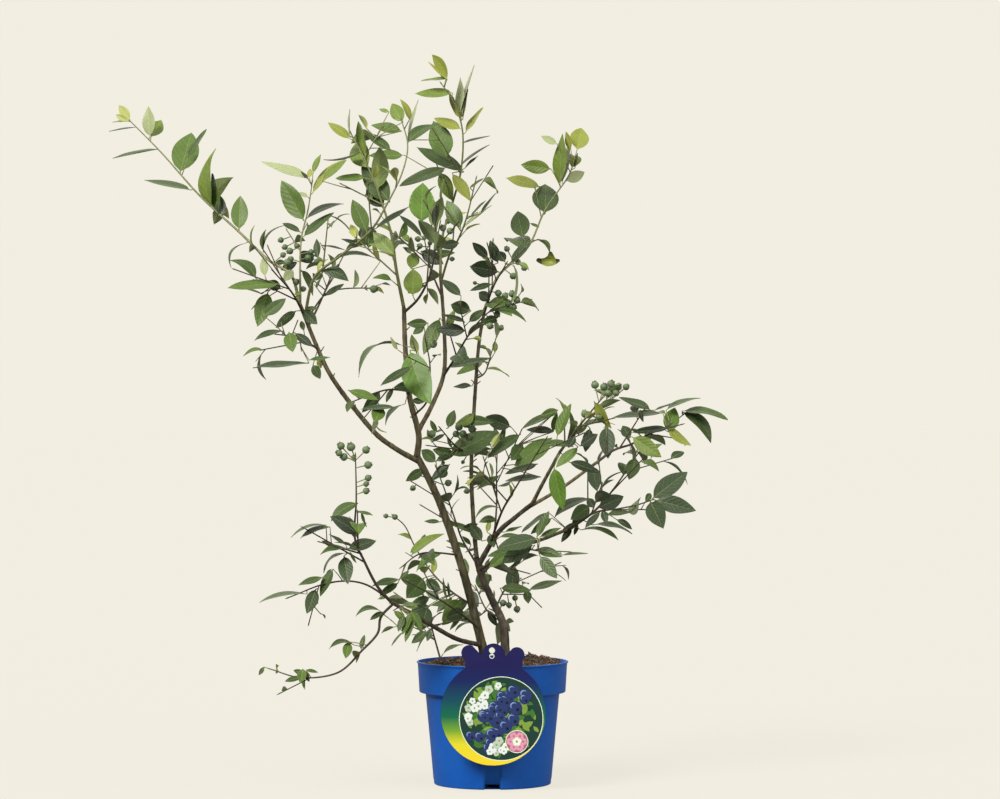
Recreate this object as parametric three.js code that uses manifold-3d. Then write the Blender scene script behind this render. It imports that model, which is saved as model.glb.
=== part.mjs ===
// A young highbush blueberry in a round nursery pot, as sold by a garden centre.
// Millimetres, +Z up. The origin is the centre of the pot's flat underside.
// The pot, its potting compost, the hook-on plant label, every stem and bough, and every leafy
// shoot is one closed solid. Neighbours keep a gap of SEAT between their faces.
import * as THREE from "three";
import { mergeVertices } from "three/addons/utils/BufferGeometryUtils.js";
import Module from "manifold-3d";

const wasm = await Module();
wasm.setup();

// ---------------------------------------------------------------- driving dimensions
const SEAT = 0.3; // gap between pieces that touch
const SLIVER = 0.01; // edges left shorter than this by a cut are closed

const POT_HEIGHT = 154;
const POT_RIM_RADIUS = 95;
const POT_BASE_RADIUS = 73.5;
const POT_SHOULDER_RADIUS = 84; // the tapered wall, just under the rim band
const POT_BAND_FOOT_RADIUS = 91.5;
const POT_BAND_FOOT = 115; // height where the rim band starts
const POT_LIP = 2; // height of the lip round the mouth
const POT_EDGE = 1.5; // bevel of the foot
const POT_STEP_EDGE = 0.8; // bevel of the band's lower edge
const POT_WALL = 1.6;
const POT_SIDES = 32;
const DRAIN_NOTCH = { count: 4, width: 18, height: 7, depth: 6 };
const DRAIN_HOLE = { count: 4, radius: 5, ring: 46, sides: 6 };

const SOIL_TOP = 148;

const LABEL = { radius: 64.5, centreX: 1, centreZ: 97, thick: 1, sides: 24 };
const LABEL_LOBES = [
  { x: 1.5, z: 167.5, radius: 14.5 },
  { x: -28.5, z: 170.5, radius: 9.5 },
  { x: 30, z: 168, radius: 9.5 },
];
const LABEL_LOBE_SIDES = 12;
const LABEL_NECK = { left: -33, right: 37, foot: 140, top: 165 };
const LABEL_HOLES = [
  { x: -0.5, z: 173.5, radius: 2.7 },
  { x: -0.5, z: 166.5, radius: 2.2 },
];
const LABEL_HOLE_SIDES = 8;
const LABEL_HOOK = { width: 20, reach: 2.4 }; // over the rim, and how far inside the wall its leg hangs

const RING_STEP = 40; // length of one facet along a limb or shoot
const SPINE_STEPS = 8; // polyline steps between two of a path's points
const FLARE_LENGTH = 14; // a root flare dies away over this height
const TRUNK_SIDES = 8;
const BOUGH_SIDES = 6;
const STEM_SIDES = 3;

// How side twigs leave a shoot's stem. A pair of numbers is the range of a seeded draw.
const TWIG = {
  tip: 0.7, // radius of the end, on stems and twigs alike
  foot: 1.1, // most radius at the foot
  share: 0.75, // and no more than this share of the stem's own radius
  end: 0.92, // no twig stands beyond this share of the leafy stretch
  place: [0.3, 0.7], // within each twig's own stretch of the stem
  turn: [0, 1.2], // loose turn about the stem, in radians
  lean: [0.65, 1.1], // away from the stem's direction, in radians
  length: [0.7, 1.3], // of the plan's twig length
  rise: 0.2, // pull towards the light
  middle: 0.55, // share of the length where its room is tested, besides the tip
};

// How leaves stand along a stem or twig, and the shape of one blade.
const LEAF = {
  gap: 28, // length of shoot between two full leaves
  fromTip: 2, // where the last leaf stands, back from the shoot's tip
  gapDraw: [0.85, 1.15],
  tipGap: 0.4, // share of the gap between the last leaves
  tipGapStep: 0.2, // and its growth from one leaf to the next
  young: [0.6, 0.85, 1], // sizes of the last leaves, from the tip down
  onTwig: [0.25, 1], // leafy stretch of a side twig
  length: [0.8, 1.15], // of the plan's leaf length
  smaller: 0.1, // loss of length with each further try
  width: 0.58, // share of the length
  widthDraw: [0.85, 1.1],
  turnDraw: [-0.25, 0.25],
  lean: 0.95, // from the shoot, in radians, on a full leaf
  leanLess: 0.15,
  leanDraw: [-0.25, 0.25],
  riseDraw: [-0.22, 0.18],
  faceUp: 0.5, // how far the upper side turns to the sky rather than to the tip
  twistDraw: [-1.1, 1.1],
  thick: 0.018, // share of the length
  leastThick: 0.7,
  arch: 0.07, // rise of the middle, share of the length
  droop: 0.08, // fall of the tip, share of the length
  rows: [[0.34, 0.5], [0.7, 0.38]], // where room is tested: share of the length, and of the width
  nearTip: 0.85, // and once more at this share of the length, besides the tip
  root: 0.32, // how far from the twig's axis the pointed root starts
  wide: [0.44, 0.54], // the widest row of the solid: share of the length, and half of the width
};

const BERRY = {
  radius: 5.1,
  radiusDraw: [0.85, 1.1],
  sides: 4,
  stalk: 8, // length of the stalk
  stalkDraw: [0.8, 1.4],
  stalkRadius: 0.6,
  cluster: 0.28, // the last share of the stem carries them
  lean: [0.4, 1.5],
  fall: -0.25, // pull of their weight
  apart: 1.03, // least distance of two centres, in sums of their radii
  fromTwig: 2, // least gap to a twig
  tries: 8, // for each berry
};

const CROWD = 9.5; // least room between the leaves and berries of one shoot
const NEAR_TWIG = 1.6; // least room between a blade and the shoot's twigs
const TRIES = 4; // places tried for a leaf or twig before it is skipped
const TURN = (137.5 * Math.PI) / 180; // from one leaf to the next round the shoot
const MARGIN = 1.2; // clearance of leaves and twigs from limbs and from the next mass's space
const POT_ZONE = { radius: POT_RIM_RADIUS + 4, top: POT_HEIGHT + 3 }; // kept free of leaves
const LABEL_ZONE = { half: LABEL.radius + 6, back: 4 - POT_RIM_RADIUS, top: 190 };

const UP = new THREE.Vector3(0, 0, 1);
const AWAY = new THREE.Vector3(0, 1, 0);

// ---------------------------------------------------------------- the plant's plan
// A path runs from its foot through the given points to its tip. `from` names the limb that
// carries it and `at` the share of that limb's length where it leaves; `thick` holds the radii
// at foot and tip.
const LIMBS = {
  main_stem: {
    thick: [5.8, 4.2], flare: 2,
    path: [[-5, 0, 140], [-35, -8, 260], [-65, -15, 350], [-94, -18, 410]],
  },
  second_stem: {
    thick: [6, 3.6], flare: 1.5,
    path: [[16, 12, 140], [14, 16, 195], [0, 22, 227], [-14, 28, 258], [-20, 30, 280]],
  },
  left_bough: {
    from: "main_stem", at: 0.97, thick: [3.4, 2.3],
    path: [[-121, -32, 420], [-150, -45, 444], [-196, -52, 504], [-218, -50, 548], [-239, -42, 600]],
  },
  leader_bough: {
    from: "main_stem", at: 1, thick: [3.9, 2.7],
    path: [[-92, -24, 438], [-103, -32, 484], [-108, -34, 540], [-110, -32, 594]],
  },
  centre_bough: {
    from: "leader_bough", at: 0.17, thick: [3, 2],
    path: [[-75, 5, 475], [-61, 22, 515], [-61, 32, 570], [-66, 40, 640]],
  },
  tall_cane: {
    from: "second_stem", at: 1, thick: [2.8, 2],
    path: [[-24, 42, 325], [-27, 58, 390], [-24, 66, 460], [-18, 72, 546], [-10, 75, 596]],
  },
  right_bough: {
    from: "second_stem", at: 0.94, thick: [3.3, 2.6],
    path: [[6, 15, 312], [27, -5, 332], [50, -20, 351]],
  },
  right_upper_bough: {
    from: "right_bough", at: 1, thick: [2.4, 2],
    path: [[60, -40, 372], [83, -75, 416]],
  },
  right_outer_bough: {
    from: "right_bough", at: 0.9, thick: [2.3, 1.9],
    path: [[67, 5, 358], [93, 30, 373], [134, 62, 402]],
  },
  lower_right_bough: {
    from: "second_stem", at: 0.86, thick: [2.6, 2],
    path: [[15, 65, 288], [61, 110, 300], [103, 145, 315]],
  },
  lower_left_bough: {
    from: "main_stem", at: 0.12, thick: [3, 2.3],
    path: [[-45, -40, 184], [-80, -75, 206], [-124, -110, 234]],
  },
};

// A leafy shoot: a stem with its leaves, side twigs and berries. `bare` is the share of the stem
// with neither, `leaf` the leaves' length, `twigs` how many side twigs of length `twig` it has,
// `berries` how many hang at its tip, and `seed` picks its own draws. Where `leafTo` is given,
// leaves and twigs end at that share of the stem, below the berries.
const SHOOTS = {
  left_tip: {
    from: "left_bough", at: 1, thick: 2, bare: 0.25, leaf: 64, twigs: 0, twig: 55, berries: 0, seed: 3,
    path: [
      [-250, -35, 635], [-280, -15, 655], [-317, 10, 690], [-370, 45, 738], [-421, 75, 794],
      [-465, 100, 838],
    ],
  },
  left_crown: {
    from: "left_bough", at: 0.95, thick: 1.6, bare: 0.2, leaf: 46, twigs: 5, twig: 66, berries: 5, seed: 12,
    path: [[-247, -80, 613], [-268, -115, 638]],
  },
  left_crown_back: {
    from: "left_bough", at: 0.88, thick: 1.6, bare: 0.3, leaf: 46, twigs: 4, twig: 62, berries: 5, seed: 13,
    path: [[-214, -5, 605], [-200, 30, 645]],
  },
  left_riser: {
    from: "left_bough", at: 0.99, thick: 1.5, bare: 0.25,
    leaf: 52, twigs: 2, twig: 50, berries: 0, seed: 3,
    path: [[-240, 0, 675], [-232, 18, 718], [-227, 30, 756]],
  },
  left_cross: {
    from: "left_bough", at: 0.93, thick: 2, bare: 0.12, leaf: 56, twigs: 3, twig: 56, berries: 0, seed: 1,
    path: [
      [-219, -75, 630], [-186, -100, 656], [-149, -118, 685], [-129, -125, 716], [-110, -122, 755],
      [-103, -115, 790], [-111, -110, 822],
    ],
  },
  left_side_twig: {
    from: "left_bough", at: 0.91, thick: 1.3, bare: 0.3, leaf: 30, twigs: 1, twig: 30, berries: 1, seed: 16,
    path: [[-210, 5, 612], [-188, 30, 620], [-150, 60, 622]],
  },
  left_low_leaves: {
    from: "left_bough", at: 0.76, thick: 1.3, bare: 0.25,
    leaf: 50, twigs: 4, twig: 50, berries: 0, seed: 17,
    path: [[-236, -88, 556], [-264, -122, 560]],
  },
  leader_top: {
    from: "leader_bough", at: 1, thick: 2.3, bare: 0.08, leaf: 60, twigs: 4, twig: 66, berries: 0, seed: 9,
    path: [[-119, -45, 641], [-124, -55, 680], [-133, -60, 713], [-150, -58, 760], [-176, -48, 812]],
  },
  leader_right: {
    from: "leader_bough", at: 0.97, thick: 1.8, bare: 0.3,
    leaf: 62, twigs: 4, twig: 58, berries: 0, seed: 19,
    path: [[-90, -60, 607], [-75, -85, 638], [-70, -95, 677], [-70, -95, 718]],
  },
  leader_left_low: {
    from: "leader_bough", at: 0.45, thick: 1.4, bare: 0.2,
    leaf: 40, twigs: 2, twig: 50, berries: 0, seed: 20,
    path: [[-132, -75, 492], [-170, -115, 478]],
  },
  leader_front: {
    from: "leader_bough", at: 0.28, thick: 1.4, bare: 0.3,
    leaf: 72, twigs: 2, twig: 50, berries: 1, seed: 21,
    path: [[-80, -75, 480], [-76, -105, 520], [-82, -115, 556]],
  },
  top_shoot: {
    from: "centre_bough", at: 1, thick: 1.8, bare: 0.3, leaf: 54, twigs: 4, twig: 66, berries: 0, seed: 18,
    path: [
      [-64, 55, 685], [-51, 65, 730], [-40, 62, 772],
      [-38, 53, 820], [-49, 44, 856], [-65, 40, 880],
    ],
  },
  centre_top_right: {
    from: "centre_bough", at: 0.95, thick: 1.6, bare: 0.25,
    leaf: 54, twigs: 3, twig: 60, berries: 0, seed: 8,
    path: [[-54, 10, 662], [-43, -10, 680], [-32, -30, 707], [-20, -45, 755]],
  },
  centre_berries: {
    from: "centre_bough", at: 0.86, thick: 1.5, bare: 0.3,
    leaf: 48, twigs: 4, twig: 58, berries: 8, seed: 24,
    path: [[-80, 90, 650], [-88, 118, 688]],
  },
  centre_right_berries: {
    from: "centre_bough", at: 0.4, thick: 1.6, bare: 0.2,
    leaf: 50, twigs: 4, twig: 60, berries: 7, seed: 25,
    path: [[-45, -10, 535], [-32, -30, 557], [-14, -50, 580], [14, -70, 603]],
  },
  upper_right: {
    from: "tall_cane", at: 1, thick: 1.9, bare: 0.25, leaf: 70, twigs: 1, twig: 50, berries: 0, seed: 11,
    path: [[7, 90, 638], [45, 120, 676], [68, 140, 726], [97, 150, 768], [106, 152, 792]],
  },
  upper_right_inner: {
    from: "tall_cane", at: 0.97, thick: 1.5, bare: 0.25, leaf: 48, twigs: 4, twig: 58, berries: 5, seed: 27,
    path: [[0, 30, 620], [18, 0, 652]],
  },
  cane_mid: {
    from: "tall_cane", at: 0.72, thick: 1.3, bare: 0.2, leaf: 44, twigs: 3, twig: 46, berries: 0, seed: 28,
    path: [[-10, 110, 515], [-3, 146, 534]],
  },
  centre_mid: {
    from: "tall_cane", at: 0.42, thick: 1.5, bare: 0.2, leaf: 54, twigs: 4, twig: 60, berries: 6, seed: 29,
    path: [[-46, 15, 422], [-66, -22, 446]],
  },
  centre_mid_right: {
    from: "right_bough", at: 0.35, thick: 1.4, bare: 0.35,
    leaf: 54, twigs: 5, twig: 62, berries: 0, seed: 3,
    path: [[5, 60, 345], [5, 88, 385], [6, 100, 420]],
  },
  right_inner: {
    from: "right_bough", at: 0.25, thick: 1.7, bare: 0.3, leaf: 58, twigs: 5, twig: 66, berries: 0, seed: 7,
    path: [[12, -40, 342], [32, -85, 378], [66, -126, 434]],
  },
  right_upper: {
    from: "right_upper_bough", at: 1, thick: 1.9, bare: 0.05,
    leaf: 48, twigs: 4, twig: 52, berries: 8, leafTo: 0.75, seed: 2,
    path: [[98, -90, 437], [115, -100, 459], [134, -110, 482]],
  },
  far_right: {
    from: "right_outer_bough", at: 1, thick: 1.8, bare: 0.02,
    leaf: 52, twigs: 5, twig: 56, berries: 0, seed: 2,
    path: [[154, 72, 416], [178, 80, 424], [204, 87, 438], [243, 93, 449]],
  },
  right_rise: {
    from: "lower_right_bough", at: 1, thick: 1.8, bare: 0.1,
    leaf: 52, twigs: 5, twig: 62, berries: 0, seed: 9,
    path: [[134, 170, 337], [160, 195, 366], [185, 210, 402], [202, 215, 424]],
  },
  right_low: {
    from: "lower_right_bough", at: 0.95, thick: 1.6, bare: 0.15,
    leaf: 52, twigs: 3, twig: 52, berries: 0, seed: 2,
    path: [[131, 115, 335], [160, 85, 341], [185, 65, 347], [203, 50, 354]],
  },
  low_right_centre: {
    from: "second_stem", at: 0.9, thick: 1.6, bare: 0.15,
    leaf: 54, twigs: 5, twig: 62, berries: 0, seed: 1,
    path: [[9, -30, 284], [38, -70, 296], [74, -104, 292]],
  },
  low_back: {
    from: "second_stem", at: 0.45, thick: 1.4, bare: 0.2,
    leaf: 46, twigs: 4, twig: 50, berries: 0, seed: 45,
    path: [[-8, 62, 214], [-22, 98, 242]],
  },
  low_right_berries: {
    from: "second_stem", at: 0.55, thick: 1.3, bare: 0.2,
    leaf: 48, twigs: 4, twig: 54, berries: 4, seed: 37,
    path: [[16, 50, 240], [36, 90, 252]],
  },
  left_upright: {
    from: "lower_left_bough", at: 1, thick: 2, bare: 0.3,
    leaf: 50, twigs: 3, twig: 74, berries: 9, leafTo: 0.5, seed: 9,
    path: [[-140, -125, 254], [-155, -140, 285], [-166, -150, 314], [-164, -155, 360], [-165, -155, 414]],
  },
  left_trailing: {
    from: "lower_left_bough", at: 0.93, thick: 1.4, bare: 0.3,
    leaf: 42, twigs: 1, twig: 42, berries: 0, seed: 46,
    path: [[-156, -116, 256], [-198, -128, 258], [-248, -135, 240]],
  },
  left_drooping: {
    from: "lower_left_bough", at: 0.97, thick: 1.7, bare: 0.2,
    leaf: 34, twigs: 2, twig: 38, berries: 0, seed: 2,
    path: [
      [-136, -108, 215], [-140, -105, 195], [-159, -100, 174], [-189, -90, 146], [-235, -70, 138],
      [-276, -55, 148],
    ],
  },
  left_inner: {
    from: "main_stem", at: 0.3, thick: 1.3, bare: 0.4,
    leaf: 30, twigs: 1, twig: 34, berries: 3, leafTo: 0.85, seed: 40,
    path: [[-54, 35, 240], [-78, 65, 262], [-99, 90, 292], [-112, 100, 318], [-128, 105, 332]],
  },
  left_mid_twig: {
    from: "main_stem", at: 0.53, thick: 1.3, bare: 0.25, leaf: 40, twigs: 1, twig: 38, berries: 0, seed: 41,
    path: [[-70, -50, 291], [-91, -75, 290], [-112, -100, 275]],
  },
  low_centre: {
    from: "main_stem", at: 0.2, thick: 1.6, bare: 0.15, leaf: 50, twigs: 6, twig: 66, berries: 0, seed: 51,
    path: [[-42, -55, 218], [-76, -85, 242], [-110, -118, 262]],
  },
  compost_shoot: {
    thick: 1.4, bare: 0.4, leaf: 44, twigs: 3, twig: 50, berries: 0, seed: 43,
    path: [[-62, 30, 140], [-75, 42, 185], [-85, 58, 222]],
  },
  centre_inner: {
    from: "second_stem", at: 0.92, thick: 1.4, bare: 0.3,
    leaf: 46, twigs: 3, twig: 50, berries: 2, seed: 44,
    path: [[-38, 40, 303], [-46, 40, 325], [-60, 42, 365], [-72, 45, 396]],
  },
};

// ---------------------------------------------------------------- solids
function solidOf(geometry) {
  const bare = geometry.clone();
  for (const name of Object.keys(bare.attributes)) {
    if (name !== "position") bare.deleteAttribute(name);
  }
  const merged = mergeVertices(bare, 1e-4);
  const vertProperties = new Float32Array(merged.attributes.position.array);
  const triVerts = new Uint32Array(merged.index.array);
  return new wasm.Manifold(new wasm.Mesh({ numProp: 3, vertProperties, triVerts }));
}

function geometryOf(solid) {
  const mesh = solid.getMesh();
  const positions = new Float32Array(mesh.vertProperties);
  const geometry = new THREE.BufferGeometry();
  geometry.setAttribute("position", new THREE.BufferAttribute(positions, 3));
  geometry.setIndex(new THREE.BufferAttribute(new Uint32Array(mesh.triVerts), 1));
  geometry.computeVertexNormals();
  return geometry;
}

/** The largest body of a solid, so that a loose scrap is dropped. */
function largest(solid) {
  return solid.decompose().reduce((a, b) => (b.volume() > a.volume() ? b : a));
}

/** A closed skin over rings of points that all run the same way round, between two end points. */
function skin(foot, rings, tip) {
  const sides = rings[0].length;
  const last = (rings.length - 1) * sides;
  const footIndex = rings.length * sides;
  const index = [];
  for (let i = 0; i < sides; i++) {
    const next = (i + 1) % sides;
    for (let r = 0; r < last; r += sides) {
      index.push(r + i, r + next, r + sides + next, r + i, r + sides + next, r + sides + i);
    }
    index.push(footIndex, next, i, footIndex + 1, last + i, last + next);
  }
  const geometry = new THREE.BufferGeometry().setFromPoints([...rings.flat(), foot, tip]);
  geometry.setIndex(index);
  return geometry;
}

// ---------------------------------------------------------------- spines
/** A limb's centreline as a polyline, with its length measured along it. */
function spineThrough(points, thick, flare = 0) {
  const curve = new THREE.CatmullRomCurve3(points, false, "catmullrom", 0.5);
  const line = curve.getPoints((points.length - 1) * SPINE_STEPS);
  const along = [0];
  for (let i = 1; i < line.length; i++) along.push(along[i - 1] + line[i].distanceTo(line[i - 1]));
  return { line, along, length: along[along.length - 1], thick, flare };
}

function stepAt(spine, s) {
  let i = 1;
  while (i < spine.line.length - 1 && spine.along[i] < s) i++;
  return i;
}

function pointAt(spine, s) {
  const i = stepAt(spine, s);
  const share = (s - spine.along[i - 1]) / (spine.along[i] - spine.along[i - 1]);
  return spine.line[i - 1].clone().lerp(spine.line[i], share);
}

function directionAt(spine, s) {
  const i = stepAt(spine, s);
  return spine.line[i].clone().sub(spine.line[i - 1]).normalize();
}

function radiusAt(spine, s) {
  const share = Math.min(Math.max(s / spine.length, 0), 1);
  const [foot, tip] = spine.thick;
  return foot + (tip - foot) * share + spine.flare * Math.exp(-s / FLARE_LENGTH);
}

/** Across the shoot at angle `turn`; turn 0 lies in the upright plane that runs left to right. */
function acrossAt(direction, turn) {
  const side = direction.clone().cross(AWAY).normalize();
  const other = side.clone().cross(direction).normalize();
  return side.multiplyScalar(Math.cos(turn)).addScaledVector(other, Math.sin(turn));
}

/** A heading that leans from `direction` by the angle `lean`, towards `across`. */
function leaning(direction, across, lean) {
  return direction.clone().multiplyScalar(Math.cos(lean)).addScaledVector(across, Math.sin(lean));
}

/** A ring of points round `centre`, square to `direction`. */
function ringAt(centre, direction, radius, sides) {
  return Array.from({ length: sides }, (_, i) =>
    centre.clone().addScaledVector(acrossAt(direction, (-2 * Math.PI * i) / sides), radius),
  );
}

function facetsOn(spine) {
  return Math.max(2, Math.round(spine.length / RING_STEP));
}

/** The point at `s` on the axis of the faceted tube, which cuts the corners of the spine's bends. */
function axisAt(spine, s) {
  const step = spine.length / facetsOn(spine);
  const facet = Math.min(Math.floor(s / step), facetsOn(spine) - 1);
  return pointAt(spine, facet * step).lerp(pointAt(spine, (facet + 1) * step), s / step - facet);
}

/** A tapering tube along the spine, with flat ends; `extra` swells it all round and past its ends. */
function tubeOn(spine, sides, extra = 0) {
  const count = facetsOn(spine);
  const centres = [];
  const rings = [];
  for (let k = 0; k <= count; k++) {
    const s = (spine.length * k) / count;
    const direction = directionAt(spine, s);
    const centre = pointAt(spine, s);
    if (k === 0) centre.addScaledVector(direction, -extra);
    if (k === count) centre.addScaledVector(direction, extra);
    centres.push(centre);
    rings.push(ringAt(centre, direction, radiusAt(spine, s) + extra, sides));
  }
  return solidOf(skin(centres[0], rings, centres[count]));
}

/** A straight side twig, with a pointed foot inside the stem and a blunt tip. */
function twigSolid(spine) {
  const direction = directionAt(spine, 0);
  const bluntness = 1;
  const rings = [spine.thick[0] * 2, spine.length - bluntness].map((s) =>
    ringAt(pointAt(spine, s), direction, radiusAt(spine, s), STEM_SIDES),
  );
  return solidOf(skin(spine.anchor, rings, pointAt(spine, spine.length)));
}

// ---------------------------------------------------------------- growth rule
/** The same draws every time: a plain linear congruential generator. */
function drawsFrom(seed) {
  let state = seed * 7919 + 17;
  const draw = () => {
    state = (state * 1664525 + 1013904223) % 4294967296;
    return state / 4294967296;
  };
  for (let i = 0; i < 5; i++) draw(); // the first few of like seeds are alike
  return draw;
}

function between(draw, [low, high]) {
  return low + (high - low) * draw();
}

const spines = {};

function growSpine(name, plan) {
  const points = plan.path.map((p) => new THREE.Vector3(...p));
  if (plan.from) {
    const carrier = spines[plan.from];
    points.unshift(pointAt(carrier, carrier.length * plan.at));
  }
  const thick = Array.isArray(plan.thick) ? plan.thick : [plan.thick, TWIG.tip];
  spines[name] = spineThrough(points, thick, plan.flare);
}

function distanceTo(spine, point) {
  const nearest = new THREE.Vector3();
  const piece = new THREE.Line3();
  let best = Infinity;
  for (let i = 1; i < spine.line.length; i++) {
    piece.set(spine.line[i - 1], spine.line[i]).closestPointToPoint(point, true, nearest);
    best = Math.min(best, nearest.distanceTo(point));
  }
  return best;
}

/** Whether a point is in the shoot's own space: nearer its stem than any other, off limbs and pot. */
function free(owner, point) {
  for (const [name, limb] of Object.entries(LIMBS)) {
    if (distanceTo(spines[name], point) < limb.thick[0] + MARGIN) return false;
  }
  if (point.z < POT_ZONE.top && Math.hypot(point.x, point.y) < POT_ZONE.radius) return false;
  const beforeLabel = point.y < LABEL_ZONE.back && Math.abs(point.x) < LABEL_ZONE.half;
  if (point.z < LABEL_ZONE.top && beforeLabel) return false;
  const own = distanceTo(spines[owner], point) + 2 * MARGIN;
  return Object.keys(SHOOTS).every((name) => name === owner || distanceTo(spines[name], point) > own);
}

/** Whether all of a leaf's stations have room among the stem, twigs, leaves and berries grown so far. */
function roomy(owner, grown, stations) {
  return stations.every(
    (p) =>
      free(owner, p) &&
      grown.spines.every((spine) => distanceTo(spine, p) > NEAR_TWIG) &&
      grown.stations.every((q) => p.distanceTo(q) > CROWD),
  );
}

/** Side twigs from a shoot's stem; one that would leave the shoot's space is skipped. */
function growTwigs(name, plan, draw) {
  const stem = spines[name];
  const leafy = TWIG.end * (plan.leafTo ?? 1) - plan.bare;
  const twigs = [];
  for (let i = 0; i < plan.twigs; i++) {
    const s = stem.length * (plan.bare + (leafy * (i + between(draw, TWIG.place))) / plan.twigs);
    const foot = pointAt(stem, s);
    const direction = directionAt(stem, s);
    const thick = [Math.min(radiusAt(stem, s) * TWIG.share, TWIG.foot), TWIG.tip];
    for (let tries = 0; tries < TRIES; tries++) {
      const across = acrossAt(direction, (2 * i + tries) * TURN + between(draw, TWIG.turn));
      const heading = leaning(direction, across, between(draw, TWIG.lean));
      heading.addScaledVector(UP, TWIG.rise).normalize();
      const length = plan.twig * between(draw, TWIG.length);
      const middle = foot.clone().addScaledVector(heading, length * TWIG.middle);
      const tip = foot.clone().addScaledVector(heading, length);
      if (!free(name, middle) || !free(name, tip)) continue;
      twigs.push({ ...spineThrough([foot, tip], thick), anchor: axisAt(stem, s) });
      break;
    }
  }
  return twigs;
}

/** One blade as drawn: its anchor on the twig, the way it points, its upper side and its size. */
function drawLeaf(spine, s, turn, longest, size, draw) {
  const direction = directionAt(spine, s);
  const across = acrossAt(direction, turn + between(draw, LEAF.turnDraw));
  const lean = size * LEAF.lean - LEAF.leanLess + between(draw, LEAF.leanDraw);
  const heading = leaning(direction, across, lean);
  heading.addScaledVector(UP, between(draw, LEAF.riseDraw)).normalize();
  const length = longest * size * between(draw, LEAF.length);
  const face = direction.clone().addScaledVector(UP, LEAF.faceUp);
  face.addScaledVector(heading, -face.dot(heading)).normalize();
  face.applyAxisAngle(heading, between(draw, LEAF.twistDraw));
  const width = length * LEAF.width * between(draw, LEAF.widthDraw);
  const side = heading.clone().cross(face);
  return { anchor: axisAt(spine, s), root: pointAt(spine, s), heading, face, side, length, width };
}

/** Grows the leaves along one shoot, alternate and spiral, from its tip back to its bare foot. */
function growLeaves(name, plan, spine, [bare, leafTo], draw, grown) {
  const start = draw() * Math.PI * 2;
  let s = spine.length * leafTo - LEAF.fromTip;
  for (let k = 0; s > spine.length * bare; k++) {
    const size = LEAF.young[k] ?? 1;
    for (let tries = 0; tries < TRIES; tries++) {
      const turn = start + (k + 2 * tries) * TURN;
      const leaf = drawLeaf(spine, s, turn, plan.leaf * (1 - LEAF.smaller * tries), size, draw);
      const stations = leafStations(leaf);
      if (!roomy(name, grown, stations)) continue;
      grown.leaves.push(leaf);
      grown.stations.push(...stations);
      break;
    }
    s -= LEAF.gap * Math.min(1, LEAF.tipGap + LEAF.tipGapStep * k) * between(draw, LEAF.gapDraw);
  }
}

/** A point of the blade: `share` of the way to the tip, `out` to one side, `lift` above the face. */
function bladePoint(leaf, share, out, lift = 0) {
  const rise = LEAF.arch * 4 * share * (1 - share) - LEAF.droop * share * share;
  return leaf.root
    .clone()
    .addScaledVector(leaf.heading, leaf.length * share)
    .addScaledVector(leaf.side, out)
    .addScaledVector(leaf.face, leaf.length * rise + lift);
}

/** Points that show whether a leaf is clear of other things: two rows across it, and its tip. */
function leafStations(leaf) {
  const across = [-1, 0, 1];
  const rows = LEAF.rows.flatMap(([share, half]) =>
    across.map((way) => bladePoint(leaf, share, way * half * leaf.width)),
  );
  return [...rows, bladePoint(leaf, LEAF.nearTip, 0), bladePoint(leaf, 1, 0)];
}

/** A flat-topped, keeled blade: a pointed root inside the twig, its widest row and a pointed tip. */
function leafSolid(leaf) {
  const keel = -Math.max(LEAF.thick * leaf.length, LEAF.leastThick);
  const [share, half] = LEAF.wide;
  const widest = [
    bladePoint(leaf, share, half * leaf.width),
    bladePoint(leaf, share, 0, keel),
    bladePoint(leaf, share, -half * leaf.width),
  ];
  const foot = leaf.anchor.clone().addScaledVector(leaf.heading, LEAF.root);
  return solidOf(skin(foot, [widest], bladePoint(leaf, 1, 0)));
}

/** Grows berries in a loose cluster round a shoot's tip, each on its own stalk. */
function growBerries(name, plan, spine, draw, grown) {
  for (let tries = 0; grown.berries.length < plan.berries; tries++) {
    if (tries === plan.berries * BERRY.tries) break;
    const s = spine.length * (1 - BERRY.cluster * draw());
    const direction = directionAt(spine, s);
    const lean = between(draw, BERRY.lean);
    const heading = leaning(direction, acrossAt(direction, draw() * Math.PI * 2), lean);
    heading.addScaledVector(UP, BERRY.fall).normalize();
    const radius = BERRY.radius * between(draw, BERRY.radiusDraw);
    const stalk = BERRY.stalk * between(draw, BERRY.stalkDraw);
    const foot = pointAt(spine, s);
    const centre = foot.clone().addScaledVector(heading, stalk + radius);
    const clear =
      grown.berries.every((b) => b.centre.distanceTo(centre) > (b.radius + radius) * BERRY.apart) &&
      grown.spines.every((twig) => distanceTo(twig, centre) > radius + BERRY.fromTwig);
    if (!clear || !free(name, centre)) continue;
    grown.berries.push({ anchor: axisAt(spine, s), centre, radius });
    grown.stations.push(centre);
  }
}

/** A round berry and its stalk in one skin, from a pointed root inside the twig. */
function berrySolid({ anchor, centre, radius }) {
  const heading = centre.clone().sub(anchor).normalize();
  const waist = 0.5; // height of the two wide rings from the middle, share of the radius
  const girth = 0.95; // and their radius
  const sections = [[-1, BERRY.stalkRadius], [-waist, radius * girth], [waist, radius * girth]];
  const rings = sections.map(([along, out]) =>
    ringAt(centre.clone().addScaledVector(heading, along * radius), heading, out, BERRY.sides),
  );
  return solidOf(skin(anchor, rings, centre.clone().addScaledVector(heading, radius)));
}

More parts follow.
